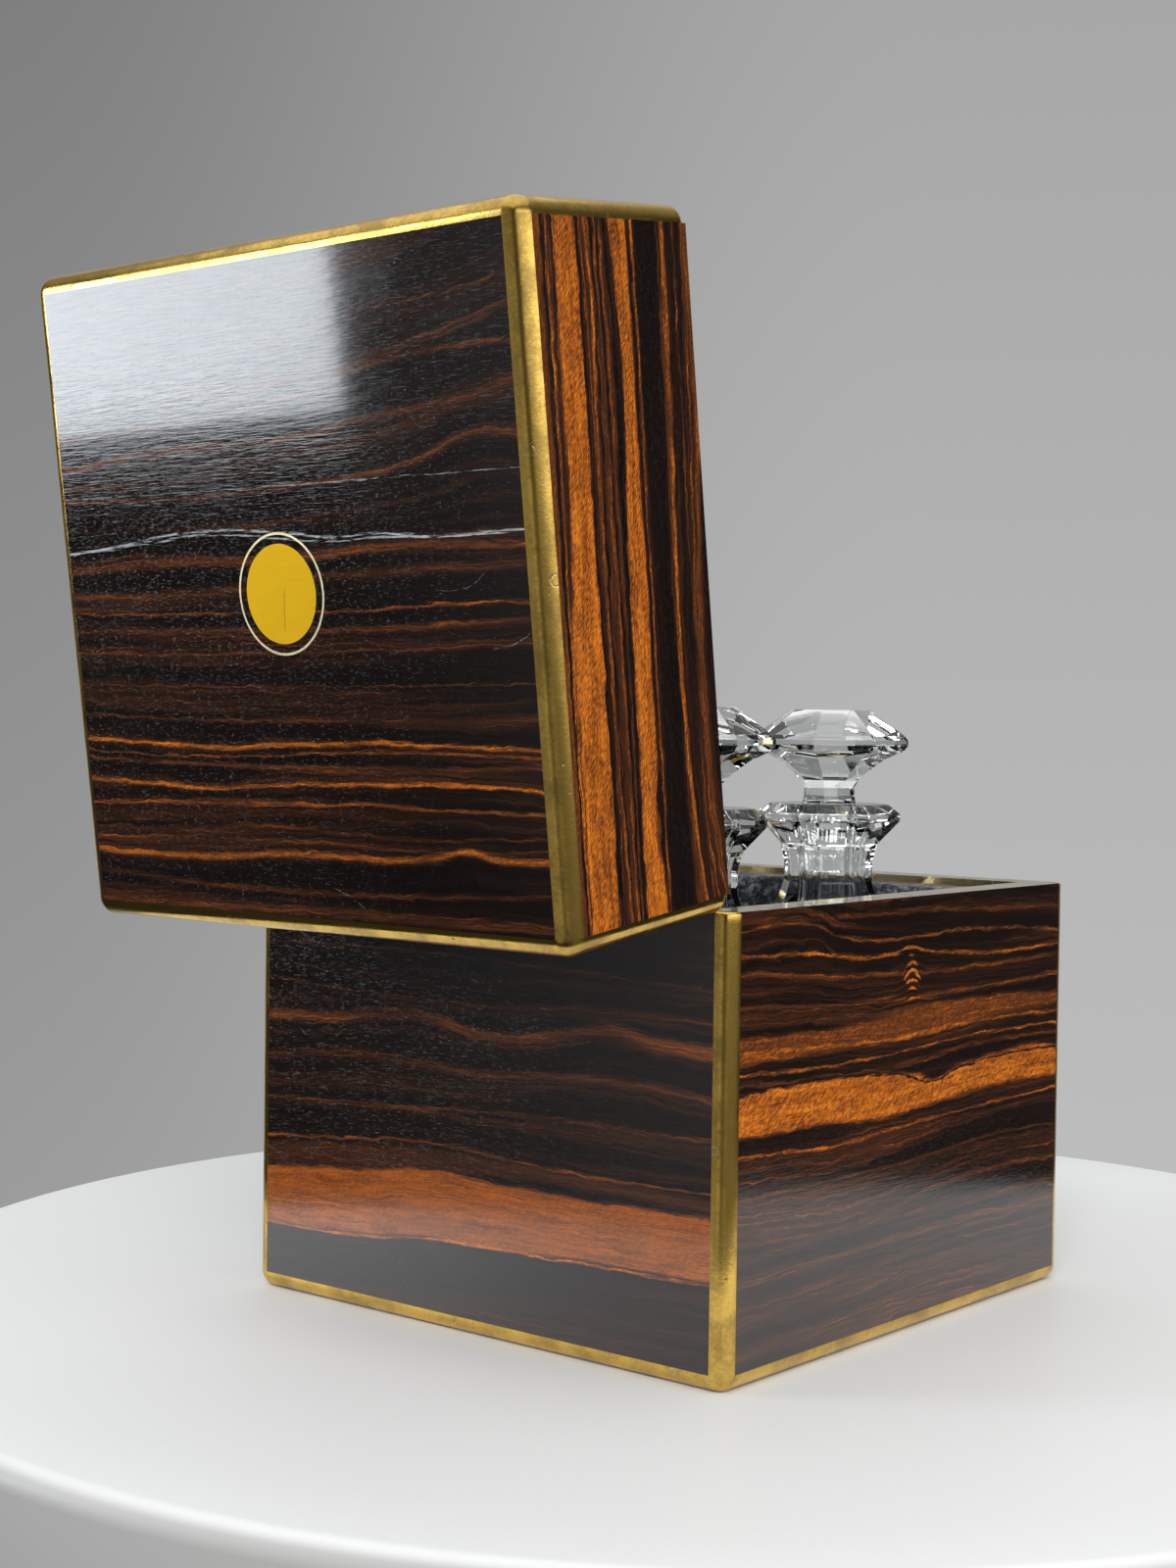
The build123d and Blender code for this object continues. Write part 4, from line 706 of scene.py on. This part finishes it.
def rounded_block(low, high, edge, pitch, square=()):
    """Points, quads and outward directions of a block with rounded edges. Each point p of the plain
    block's skin goes to q + (p - q) * max|p - q| / |p - q|, where q is p held inside the block less
    its rounding. A side in square, as (axis, 0 low or 1 high), has no rounding."""
    low, high = np.array(low, float), np.array(high, float)
    inset = np.full((3, 2), edge)
    for axis, side in square:
        inset[axis, side] = 0.0
    places, faces, count = [], [], 0
    for axis in range(3):
        u_axis, v_axis = (axis + 1) % 3, (axis + 2) % 3
        for side in (low, high):
            spans = [np.linspace(low[a], high[a], max(4, int((high[a] - low[a]) / pitch)) + 1)
                     for a in (u_axis, v_axis)]
            for span in spans:  # two extra rows carry each rounding
                span[1], span[-2] = span[0] + edge * 0.45, span[-1] - edge * 0.45
            u, v = np.meshgrid(*spans, indexing="ij")
            points = np.empty(u.shape + (3,))
            points[..., axis], points[..., u_axis], points[..., v_axis] = side[axis], u, v
            faces += lattice(*u.shape, first=count)
            count += u.size
            places.append(points.reshape(-1, 3))
    points = np.concatenate(places)
    core = np.clip(points, low + inset[:, 0], high - inset[:, 1])
    away = points - core
    reach = np.maximum(np.linalg.norm(away, axis=1, keepdims=True), 1e-9)
    return core + away * np.abs(away).max(axis=1, keepdims=True) / reach, faces, away / reach


def crush(points, outward, depth, seed, free):
    """Lowers the skin inwards, up to depth where free is 1, by the sum |n1| + 0.6 |n2| + 0.35 |n3|
    of three layers of noise."""
    folds = np.zeros(len(points))
    for layer, (size, share) in enumerate(((0.016, 1.0), (0.0072, 0.6), (0.0034, 0.35))):
        folds += share * np.abs(value_noise(points, size, seed + layer))
    return points - (depth * np.clip(folds / 1.3, 0.0, 1.0) * free)[:, None] * outward


def velvet_piece(name, blocks, body, replaced):
    """Joins blocks of padding into one piece: (points, faces) each."""
    places, faces, count = [], [], 0
    for points, quads in blocks:
        faces += (np.array(quads) + count).tolist()
        count += len(points)
        places.append(points)
    piece = merged(name, np.concatenate(places), faces, velvet, sharp=180.0)
    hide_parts(*replaced)
    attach(piece, body)
    return piece


BELOW_CAPPING = 0.00305  # a wall pad ends just under the brass that is turned down inside
SWELLING_ROOM = 0.0008  # it is drawn this much thinner, and swells into the room
PAD_ROUNDING = 0.0034
SWELLING_STEPS = 20
AIR_PRESSURE = 4.0
TAKEN_UP = 0.25  # the share of the swelling that thin wadding lets the skin follow
SWELLING_LIMIT = 0.0012


def places_of(mesh):
    """A mesh's points, as rows."""
    places = np.empty(3 * len(mesh.vertices))
    mesh.vertices.foreach_get("co", places)
    return places.reshape(-1, 3)


def swell(piece, held):
    """Swells a pad as its wadding does. Its skin is simulated as cloth with air pressed in, while
    the held points stay put, and takes up a share of that movement, up to a limit."""
    scene = bpy.context.scene
    piece.vertex_groups.new(name="held").add(np.flatnonzero(held).tolist(), 1.0, "REPLACE")
    wadding = piece.modifiers.new("wadding", "CLOTH")
    settings = wadding.settings
    settings.vertex_group_mass = "held"
    settings.use_pressure = True
    settings.uniform_pressure_force = AIR_PRESSURE
    settings.effector_weights.gravity = 0.0
    wadding.point_cache.frame_start, wadding.point_cache.frame_end = 1, SWELLING_STEPS
    for moment in range(1, SWELLING_STEPS + 1):
        scene.frame_set(moment)
    start = places_of(piece.data)
    ended = places_of(piece.evaluated_get(bpy.context.evaluated_depsgraph_get()).to_mesh())
    moved = TAKEN_UP * (ended - start)
    far = np.maximum(np.linalg.norm(moved, axis=1, keepdims=True) / SWELLING_LIMIT, 1.0)
    piece.modifiers.remove(wadding)
    piece.data.vertices.foreach_set("co", (start + moved / far).ravel())
    piece.data.update()
    piece.vertex_groups.clear()
    scene.frame_set(1)


for number, wall in enumerate(("front", "rear", "left", "right")):
    low, high = (np.array(corner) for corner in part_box(wall + "_pad"))
    high[2] = RIM - BELOW_CAPPING
    axis, inwards = {"front": (1, 1), "rear": (1, -1), "left": (0, 1), "right": (0, -1)}[wall]
    (high if inwards > 0 else low)[axis] -= SWELLING_ROOM * inwards
    points, quads, outward = rounded_block(low, high, PAD_ROUNDING, 0.0022,
                                           [(axis, int(inwards < 0))])
    inner = np.clip(outward[:, axis] * inwards, 0.0, 1.0)
    top = np.clip(outward[:, 2], 0.0, 1.0)
    points = crush(points, outward, 0.0016, 51 + 5 * number, np.maximum(inner, 0.3 * top))
    pad = velvet_piece(wall + "_velvet", [(points, quads)], "base", [wall + "_pad"])
    skin = places_of(pad.data)
    back = low[axis] if inwards > 0 else high[axis]
    on_back = np.abs(skin[:, axis] - back) < PAD_ROUNDING + 0.0001
    swell(pad, on_back | (skin[:, 2] > high[2] - 0.001))

CELL_MIDDLE = 0.04525  # of each decanter's cell, from the box's middle
FLOOR_PAD_HALF = 0.0426
CELLS = [(sx * CELL_MIDDLE, sy * CELL_MIDDLE) for sy in (-1, 1) for sx in (-1, 1)]
low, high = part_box("floor_pads")
floor_blocks = []
for number, (x, y) in enumerate(CELLS):
    points, quads, outward = rounded_block((x - FLOOR_PAD_HALF, y - FLOOR_PAD_HALF, low.z),
                                           (x + FLOOR_PAD_HALF, y + FLOOR_PAD_HALF, high.z),
                                           0.0015, 0.003)
    points = crush(points, outward, 0.0005, 81 + number, np.clip(outward[:, 2], 0.0, 1.0))
    floor_blocks.append((points, quads))
velvet_piece("floor_velvet", floor_blocks, "base", ["floor_pads"])


LAP_HEIGHT = 0.06835  # where the two partitions' notches meet
LAP_FIT = 0.0001


def partition(name, node, along_y, notch, from_top):
    """A velvet-covered board, notched at its middle down or up to a height: its outline, carried
    across the board's thickness, with rounded edges."""
    low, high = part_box(node)
    reach = high.y if along_y else high.x
    half = (high.x - low.x if along_y else high.y - low.y) / 2
    slot = half + LAP_FIT
    bottom, top = low.z, high.z
    if from_top:
        edge = [(-reach, bottom), (reach, bottom), (reach, top), (slot, top), (slot, notch),
                (-slot, notch), (-slot, top), (-reach, top)]
    else:
        edge = [(-reach, bottom), (-slot, bottom), (-slot, notch), (slot, notch), (slot, bottom),
                (reach, bottom), (reach, top), (-reach, top)]
    flat = np.array(edge)
    faces = [[n, (n + 1) % 8, (n + 1) % 8 + 8, n + 8] for n in range(8)]
    faces += [list(range(8)), list(range(8, 16))]
    sides = [np.column_stack([np.full(8, side), flat[:, 0], flat[:, 1]]) for side in (-half, half)]
    points = np.concatenate(sides)
    if not along_y:
        points = points[:, [1, 0, 2]]
    piece = merged(name, points, faces, velvet)
    bevel = piece.modifiers.new("round_edges", "BEVEL")
    bevel.width = 0.0012
    bevel.segments = 3
    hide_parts(node)
    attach(piece, "base")


partition("partition_front_to_back", "divider_front_to_back", True, LAP_HEIGHT, True)
partition("partition_side_to_side", "divider_side_to_side", False, LAP_HEIGHT + LAP_FIT, False)

# the lid's lining is drawn shut and turned open with the lid
WALL_INSIDE = 0.1003
LID_ROOF = 0.23565
ROOF_PAD = 0.004
STRIP = 0.002
STRIP_FOOT = 0.1643
LINING_FIT = 0.0001
half = WALL_INSIDE - STRIP - LINING_FIT
points, quads, outward = rounded_block((-half, -half, LID_ROOF - ROOF_PAD), (half, half, LID_ROOF),
                                       0.0016, 0.0026)
points = crush(points, outward, 0.0012, 91, np.clip(-outward[:, 2], 0.0, 1.0))
velvet_piece("lid_roof_velvet", [(opened(points), quads)], "lid", ["lid_top_pad"])
strips = []
for number, (ax, side) in enumerate(((0, -1), (0, 1), (1, -1), (1, 1))):
    near, far = sorted((side * WALL_INSIDE, side * (WALL_INSIDE - STRIP)))
    reach = WALL_INSIDE if ax else half
    low, high = np.array((-reach, -reach, STRIP_FOOT)), np.array((reach, reach, LID_ROOF))
    low[ax], high[ax] = near, far
    points, quads, outward = rounded_block(low, high, 0.0009, 0.0028)
    points = crush(points, outward, 0.0005, 95 + number, np.clip(-side * outward[:, ax], 0.0, 1.0))
    strips.append((opened(points), quads))
velvet_piece("lid_wall_velvet", strips, "lid", ["lid_side_pads"])

# Green baize is glued under the bottom board, so that the box doesn't mark a table.
baize = Finish("wool_baize", Sheen_Weight=0.3, Sheen_Tint=(0.4, 0.6, 0.4, 1.0), IOR=1.4)
felt = baize.noise(baize.place(), (0.0012, 0.0012, 0.0012), detail=4.0, roughness=0.7, seed=1.0)
worn = baize.noise(baize.place(), (0.05, 0.05, 0.05), detail=2.0, seed=2.0)
green = baize.mix(felt * 0.6 + worn * 0.4, (0.008, 0.035, 0.018), (0.03, 0.1, 0.05))
baize.set({"Base Color": green, "Roughness": 0.85 + 0.1 * felt})
baize.bump(felt, 0.0003, 0.7)
low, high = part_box("baize")
points, quads, outward = rounded_block(low, high, 0.00035, 0.006)
points[:, 2] += 0.00006 * value_noise(points, 0.004, 99) * (points[:, 2] < 0.0002)
points[:, 2] = np.clip(points[:, 2], 0.0, high.z)
cloth = merged("baize_cloth", points, quads, baize, sharp=180.0)
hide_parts("baize")
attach(cloth, "base")

# ---- Lock and hinge steel ----------------------------------------------------------------------
# The bolt, its spring and the hinges' pins are bright steel, drawn and filed lengthwise, with a
# little dark oil in the file marks.
steel = Finish("filed_steel", Metallic=1.0)
file_marks = steel.noise(steel.place(), (0.02, 0.0003, 0.0003), detail=3.0, seed=1.0)
oil = steel.noise(steel.place(), (0.006, 0.006, 0.006), detail=3.0, seed=2.0).step(0.45, 0.7)
steel.set({"Base Color": steel.mix(oil, (0.5, 0.5, 0.52), (0.24, 0.22, 0.2)),
           "Roughness": 0.26 + 0.2 * file_marks + 0.1 * oil})
steel.bump(file_marks, 0.00005, 0.6)
steel.wear("lock_bolt", "lock_spring", "hinge_pins")

# ---- Decanters and stoppers --------------------------------------------------------------------
# Clear lead glass, blown into a square mould, with every outer face ground flat and polished: cut
# corners, sloping shoulders, an eight-sided neck and a broad lip. The inside is left as blown. Each
# mushroom stopper is cut from one lump and its plug is ground to fit its own bottle.
FOOT = 0.01165  # the height at which the decanters stand on the floor pads
LIP = 0.19215
OCTAGON = 2.0 - math.sqrt(2.0)  # the cut, in half widths, that makes eight equal sides
AROUND = 64  # points round each ring


def lead_glass():
    """Clear glass with faint ripples, hairline scuffs and a little dust."""
    finish = Finish("cut_glass", IOR=1.545, Transmission_Weight=1.0)
    place = finish.place()
    ripples = finish.noise(place, (0.011, 0.011, 0.02), detail=2.0, seed=2.0)
    scuffs = finish.noise(place, (0.0002, 0.004, 0.002), detail=1.0, seed=4.0).step(0.7, 0.78)
    dust = finish.noise(place, (0.0006, 0.0006, 0.0006), detail=1.0, seed=6.0).step(0.74, 0.8)
    finish.set({"Base Color": finish.mix(ripples, (0.955, 0.975, 0.97), (0.985, 0.995, 0.99)),
                "Roughness": 0.004 + 0.08 * scuffs + 0.12 * dust})
    finish.bump(ripples, 0.00002)
    return finish


cut_glass = lead_glass()


def outline(half, cut):
    """AROUND points round a square of that half width with its corners cut off by cut, with the
    same number on each of its eight sides: corner + share * (next corner - corner)."""
    near = half - cut
    corners = np.array([(half, -near), (half, near), (near, half), (-near, half), (-half, near),
                        (-half, -near), (-near, -half), (near, -half), (half, -near)])
    share = np.arange(AROUND) / (AROUND // 8)
    start = share.astype(int)
    part = (share - start)[:, None]
    return corners[start] * (1 - part) + corners[start + 1] * part


def circle(radius, power=2.0):
    """AROUND points round a circle, or a rounded square |x|^n + |y|^n = r^n for a higher power,
    numbered as in outline."""
    flat = outline(1.0, OCTAGON)
    angle = np.arctan2(flat[:, 1], flat[:, 0])
    reach = (np.abs(np.cos(angle)) ** power + np.abs(np.sin(angle)) ** power) ** (-1.0 / power)
    return radius * reach[:, None] * np.column_stack([np.cos(angle), np.sin(angle)])


GROUND_EDGE = 14.0  # degrees, from which an edge between two cuts is crisp


def glass_piece(name, node, rings, centre, bevel_width):
    """Stacks rings of (height, points) into one closed skin, from the middle of the first ring to
    the middle of the last, and gives the ground edges a narrow polished bevel."""
    places = [np.column_stack([points, np.full(AROUND, height)]) for height, points in rings]
    grid = np.concatenate(places)
    faces = lattice(len(rings), AROUND, wrap=True)
    faces.append(list(range(AROUND)))
    faces.append(list(range((len(rings) - 1) * AROUND, len(rings) * AROUND)))
    piece = merged(name, grid + np.array(centre), faces, cut_glass, sharp=GROUND_EDGE)
    edges = piece.modifiers.new("polished_edges", "BEVEL")
    edges.width = bevel_width
    edges.segments = 2
    edges.limit_method = "ANGLE"
    edges.angle_limit = math.radians(GROUND_EDGE)
    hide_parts(node)
    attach(piece, node)


MOUTH = 0.1805  # heights are from the decanter's foot
PLUG_LONG = 0.027
BORE = 0.01006  # the radius of the ground bore at the mouth
THROAT = 0.00896
SHOULDER_TOP, SHOULDER_FOOT = 0.142, 0.1
HOLLOW = 0.037  # half of the body's inside
HOLLOW_FLOOR, DOME = 0.022, 0.009
SQUARENESS = 4.4  # the power of the body's inside
PINHOLE = 0.0002  # the radius at which a skin closes in its middle


def blown_hollow():
    """The inside from the lip down: the plug's cone, the throat, a flowing shoulder and a rounded
    square body with a domed floor. Between the throat and the body the outline's radius and power
    follow the cosine fade 0.5 - 0.5 cos(pi t)."""
    rings = []
    for t in np.linspace(0.0, 1.0, 6):
        rings.append((MOUTH - PLUG_LONG * t, circle(BORE + (THROAT - BORE) * t)))
    for height in (0.148, SHOULDER_TOP):
        rings.append((height, circle(THROAT)))
    for t in np.linspace(0.0, 1.0, 22)[1:]:
        fade = 0.5 - 0.5 * math.cos(math.pi * t)
        inside = circle(THROAT + (HOLLOW - THROAT) * fade, 2.0 + (SQUARENESS - 2.0) * fade)
        rings.append((SHOULDER_TOP + (SHOULDER_FOOT - SHOULDER_TOP) * t, inside))
    for height in np.linspace(0.096, HOLLOW_FLOOR, 8):
        rings.append((height, circle(HOLLOW, SQUARENESS)))
    for t in np.linspace(0.0, 1.0, 9)[1:]:
        turn = t * math.pi / 2
        inside = circle(HOLLOW * math.cos(turn) ** 0.6 + PINHOLE, SQUARENESS - 1.8 * t)
        rings.append((HOLLOW_FLOOR - DOME * math.sin(turn), inside))
    return rings


# each ring of cuts is a height, the half width and, where the sides aren't equal, the corners' cut
BODY_CUTS = [(0.0, 0.039, 0.013), (0.003, 0.042, 0.013), (0.104, 0.042, 0.013),
             (0.124, 0.0353, 0.0162)]
NECK_CUTS = [(0.1395, 0.0196), (0.1495, 0.0166), (0.1575, 0.0166), (0.1645, 0.0183),
             (0.174, 0.0266), (0.177, 0.0266), (MOUTH, 0.0221)]
decanter_rings = [(0.0006, circle(0.012)), (0.0, circle(0.03))]
decanter_rings += [(height, outline(half, cut)) for height, half, cut in BODY_CUTS]
decanter_rings += [(height, outline(half, half * OCTAGON)) for height, half in NECK_CUTS]
decanter_rings += [(MOUTH, circle(0.0112))] + blown_hollow()

# a stopper's heights are from the decanter's lip
PLUG = [(-PLUG_LONG, PINHOLE), (-PLUG_LONG, 0.0081), (-0.0264, 0.0088), (-0.0132, 0.00938),
        (0.0, 0.0099)]
STOPPER_CUTS = [(0.0, 0.01), (0.0028, 0.0095), (0.0062, 0.0094), (0.0092, 0.0109), (0.0122, 0.0136),
                (0.0176, 0.0203), (0.0212, 0.0276), (0.0232, 0.0291), (0.0254, 0.0291),
                (0.0271, 0.0278), (0.0372, 0.015)]
STOPPER_FIT = 0.00015  # the crack between stopper and lip
stopper_rings = [(height, circle(radius)) for height, radius in PLUG]
stopper_rings += [(height, outline(half, half * OCTAGON)) for height, half in STOPPER_CUTS]

for (x, y), corner in zip(CELLS, ("front_left", "front_right", "rear_left", "rear_right")):
    glass_piece("bottle_" + corner, "decanter_" + corner, decanter_rings, (x, y, FOOT), 0.0004)
    glass_piece("mushroom_" + corner, "stopper_" + corner, stopper_rings,
                (x, y, LIP + STOPPER_FIT), 0.0003)

# ---- Floor, light and camera -------------------------------------------------------------------
# A round table with a rounded rim, painted in pale satin, stands under the box. A wide soft light
# hangs overhead, two lamps fill in from behind the camera and from the box's left, and a soft panel
# stands where the polished lid mirrors it. The surround is pale grey.
TABLE_RADIUS = 0.34
TABLE_ROUNDING = 0.008
TABLE_MIDDLE = (-0.005, -0.025, 0.0)
TABLE_AROUND = 192


def table_disc():
    """Circles whose radius and height follow a quarter turn at the rim."""
    turn = np.linspace(0.0, math.pi / 2, 9)
    radius = np.concatenate([[0.0, 0.1, 0.2, 0.3],
                             TABLE_RADIUS - TABLE_ROUNDING + TABLE_ROUNDING * np.sin(turn),
                             [TABLE_RADIUS, 0.32, 0.0]])
    height = np.concatenate([[0.0] * 4, TABLE_ROUNDING * np.cos(turn) - TABLE_ROUNDING,
                             [-0.03, -0.036, -0.036]])
    angle = np.linspace(0.0, 2 * math.pi, TABLE_AROUND + 1)[:-1]
    grid = np.stack([radius[:, None] * np.cos(angle), radius[:, None] * np.sin(angle),
                     np.repeat(height[:, None], TABLE_AROUND, axis=1)], -1).reshape(-1, 3)
    return grid + np.array(TABLE_MIDDLE), lattice(len(radius), TABLE_AROUND, wrap=True)


floor_paint = Finish("floor_paint", IOR=1.45)
speckle = floor_paint.noise(floor_paint.place(), (0.002, 0.002, 0.002), detail=2.0)
below = -floor_paint.node("ShaderNodeSeparateXYZ", {0: floor_paint.place()}, out="Z")
paint = floor_paint.mix(speckle, (0.725, 0.73, 0.73), (0.765, 0.77, 0.77))
# painted shade: the rim's lower rounding, the table's side and its underside are darker grey
paint = floor_paint.mix(below.step(0.0, 0.0035), paint, (0.44, 0.44, 0.43))
floor_paint.set({"Base Color": paint, "Roughness": 0.42 + 0.06 * speckle})
points, quads = table_disc()
merged("floor", points, quads, floor_paint, sharp=30.0)


def area_lamp(name, size, watts, stands):
    """A rectangular lamp that faces down its own Z axis."""
    data = bpy.data.lights.new(name, "AREA")
    data.shape = "RECTANGLE"
    data.size, data.size_y = size
    data.energy = watts
    lamp = bpy.data.objects.new(name, data)
    lamp.matrix_world = stands
    bpy.context.scene.collection.objects.link(lamp)
    return lamp


def aimed_lamp(name, size, watts, middle, towards):
    """A rectangular lamp that faces from its middle towards a point."""
    turn = (Vector(towards) - Vector(middle)).to_track_quat("-Z", "Y").to_matrix()
    return area_lamp(name, size, watts, Matrix.Translation(middle) @ turn.to_4x4())


BOX_MIDDLE = (0.0, 0.0, 0.15)
overhead = aimed_lamp("overhead", (3.0, 3.0), 22.5, (0.05, 0.25, 1.8), (0.0, 0.0, 0.1))
overhead.visible_transmission = False
fill = aimed_lamp("fill", (3.4, 3.4), 395.0, (-3.7, 5.2, 4.0), BOX_MIDDLE)
fill.visible_glossy = False
side_fill = aimed_lamp("side_fill", (3.3, 3.3), 110.0, (-4.8, -0.22, 2.1), BOX_MIDDLE)
side_fill.visible_glossy = False

# The panel is parallel to the open lid's top. Its near lower corner is where the lid's polish shows
# it a third of the way down and two thirds of the way across.
PANEL_CORNER = (1.186, 1.416, 0.229)
PANEL_WIDE, PANEL_HIGH = 1.3, 1.1
tilt = math.radians(LID_OPEN)
outward = Vector((0.0, math.sin(tilt), math.cos(tilt)))
up = Vector((0.0, -outward.z, outward.y))
middle = Vector(PANEL_CORNER) + PANEL_WIDE / 2 * Vector((1.0, 0.0, 0.0)) + PANEL_HIGH / 2 * up
turn = Matrix((up.cross(outward), up, outward)).transposed()
window_panel = area_lamp("window_panel", (PANEL_WIDE, PANEL_HIGH), 34.0,
                         Matrix.Translation(middle) @ turn.to_4x4())
window_panel.data.color = (0.88, 0.94, 1.0)


class Surround(Finish):
    """The nodes of a world instead of a material's."""

    def __init__(self, shell):
        shell.use_nodes = True
        self.tree = shell.node_tree
        self.tree.nodes.clear()


world = bpy.data.worlds.new("surround")
bpy.context.scene.world = world
around = Surround(world)
direction = around.node("ShaderNodeSeparateXYZ", {0: around.node("ShaderNodeTexCoord",
                                                                 out="Generated")})
x, y, z = (direction.output(axis) for axis in "XYZ")

# what the camera sees: a wall that is paler to the right and darker upwards
side = 0.5 - 0.5 * (0.767 * x + 0.6415 * y)
wall = 0.28 + 0.18 * side.step(0.37, 0.57) - 0.25 * z

# what is seen through glass: the same wall under a pale ceiling, with dark upright stripes
stripes = around.node("ShaderNodeMath", {0: 9.0 * x + 7.0 * y}, operation="SINE").step(0.1, 0.7)
clear = 0.3 + 0.16 * side.step(0.2, 0.8) + 0.5 * z.step(0.3, 0.8) - 0.22 * stripes

# what lights the box and shows in its polish: pale patches above, beyond the box, to its rear and
# to its left, a faint one low down behind the camera, and a bright one at the left for polish alone
above = z.step(0.25, 1.0)
beyond = (0.62 * x - 0.78 * y).step(0.45, 0.9)
rear = (0.985 * y + 0.17 * x).step(0.78, 0.92)
left = (0.1 * y - x).step(0.55, 0.95)
low = (0.866 * y - 0.5 * x).step(0.82, 0.95) * (1.0 - z.step(-0.2, 0.0))
bright = (0.02 * y - x).step(0.66, 0.78) * z.step(-0.1, 0.19) * (1.0 - z.step(0.35, 0.5))
rays = around.node("ShaderNodeLightPath")
lit = 0.03 + 0.35 * above + 0.35 * beyond + 0.24 * rear + 0.13 * left + 0.12 * low
lit = lit + 1.9 * rays.output("Is Glossy Ray") * bright

seen, through = rays.output("Is Camera Ray"), rays.output("Is Transmission Ray")
level = seen * wall + (1.0 - seen) * (through * clear + (1.0 - through) * lit)
tint = around.node("ShaderNodeCombineColor", {0: level * 0.99, 1: level, 2: level * 0.995})
background = around.node("ShaderNodeBackground", {"Color": tint, "Strength": 1.0})
end = around.tree.nodes.new("ShaderNodeOutputWorld")
around.tree.links.new(background.socket, end.inputs["Surface"])

# The lens stands behind and to the left of the box, a little over the height of its rim.
LENS_PLACE = (-0.5677, 0.7318, 0.2228)
LENS_AHEAD = (0.6404, -0.7676, -0.026)
LENS_UP = (0.0268, -0.0116, 0.9996)
lens = bpy.data.cameras.new("camera")
lens.lens = 53.4
lens.sensor_width = 36.0
camera = bpy.data.objects.new("camera", lens)
ahead = Vector(LENS_AHEAD).normalized()
sideways = ahead.cross(Vector(LENS_UP)).normalized()
turn = Matrix((sideways, sideways.cross(ahead), -ahead)).transposed()
camera.matrix_world = Matrix.Translation(LENS_PLACE) @ turn.to_4x4()
bpy.context.scene.collection.objects.link(camera)
bpy.context.scene.camera = camera
bpy.context.scene.view_settings.view_transform = "Standard"
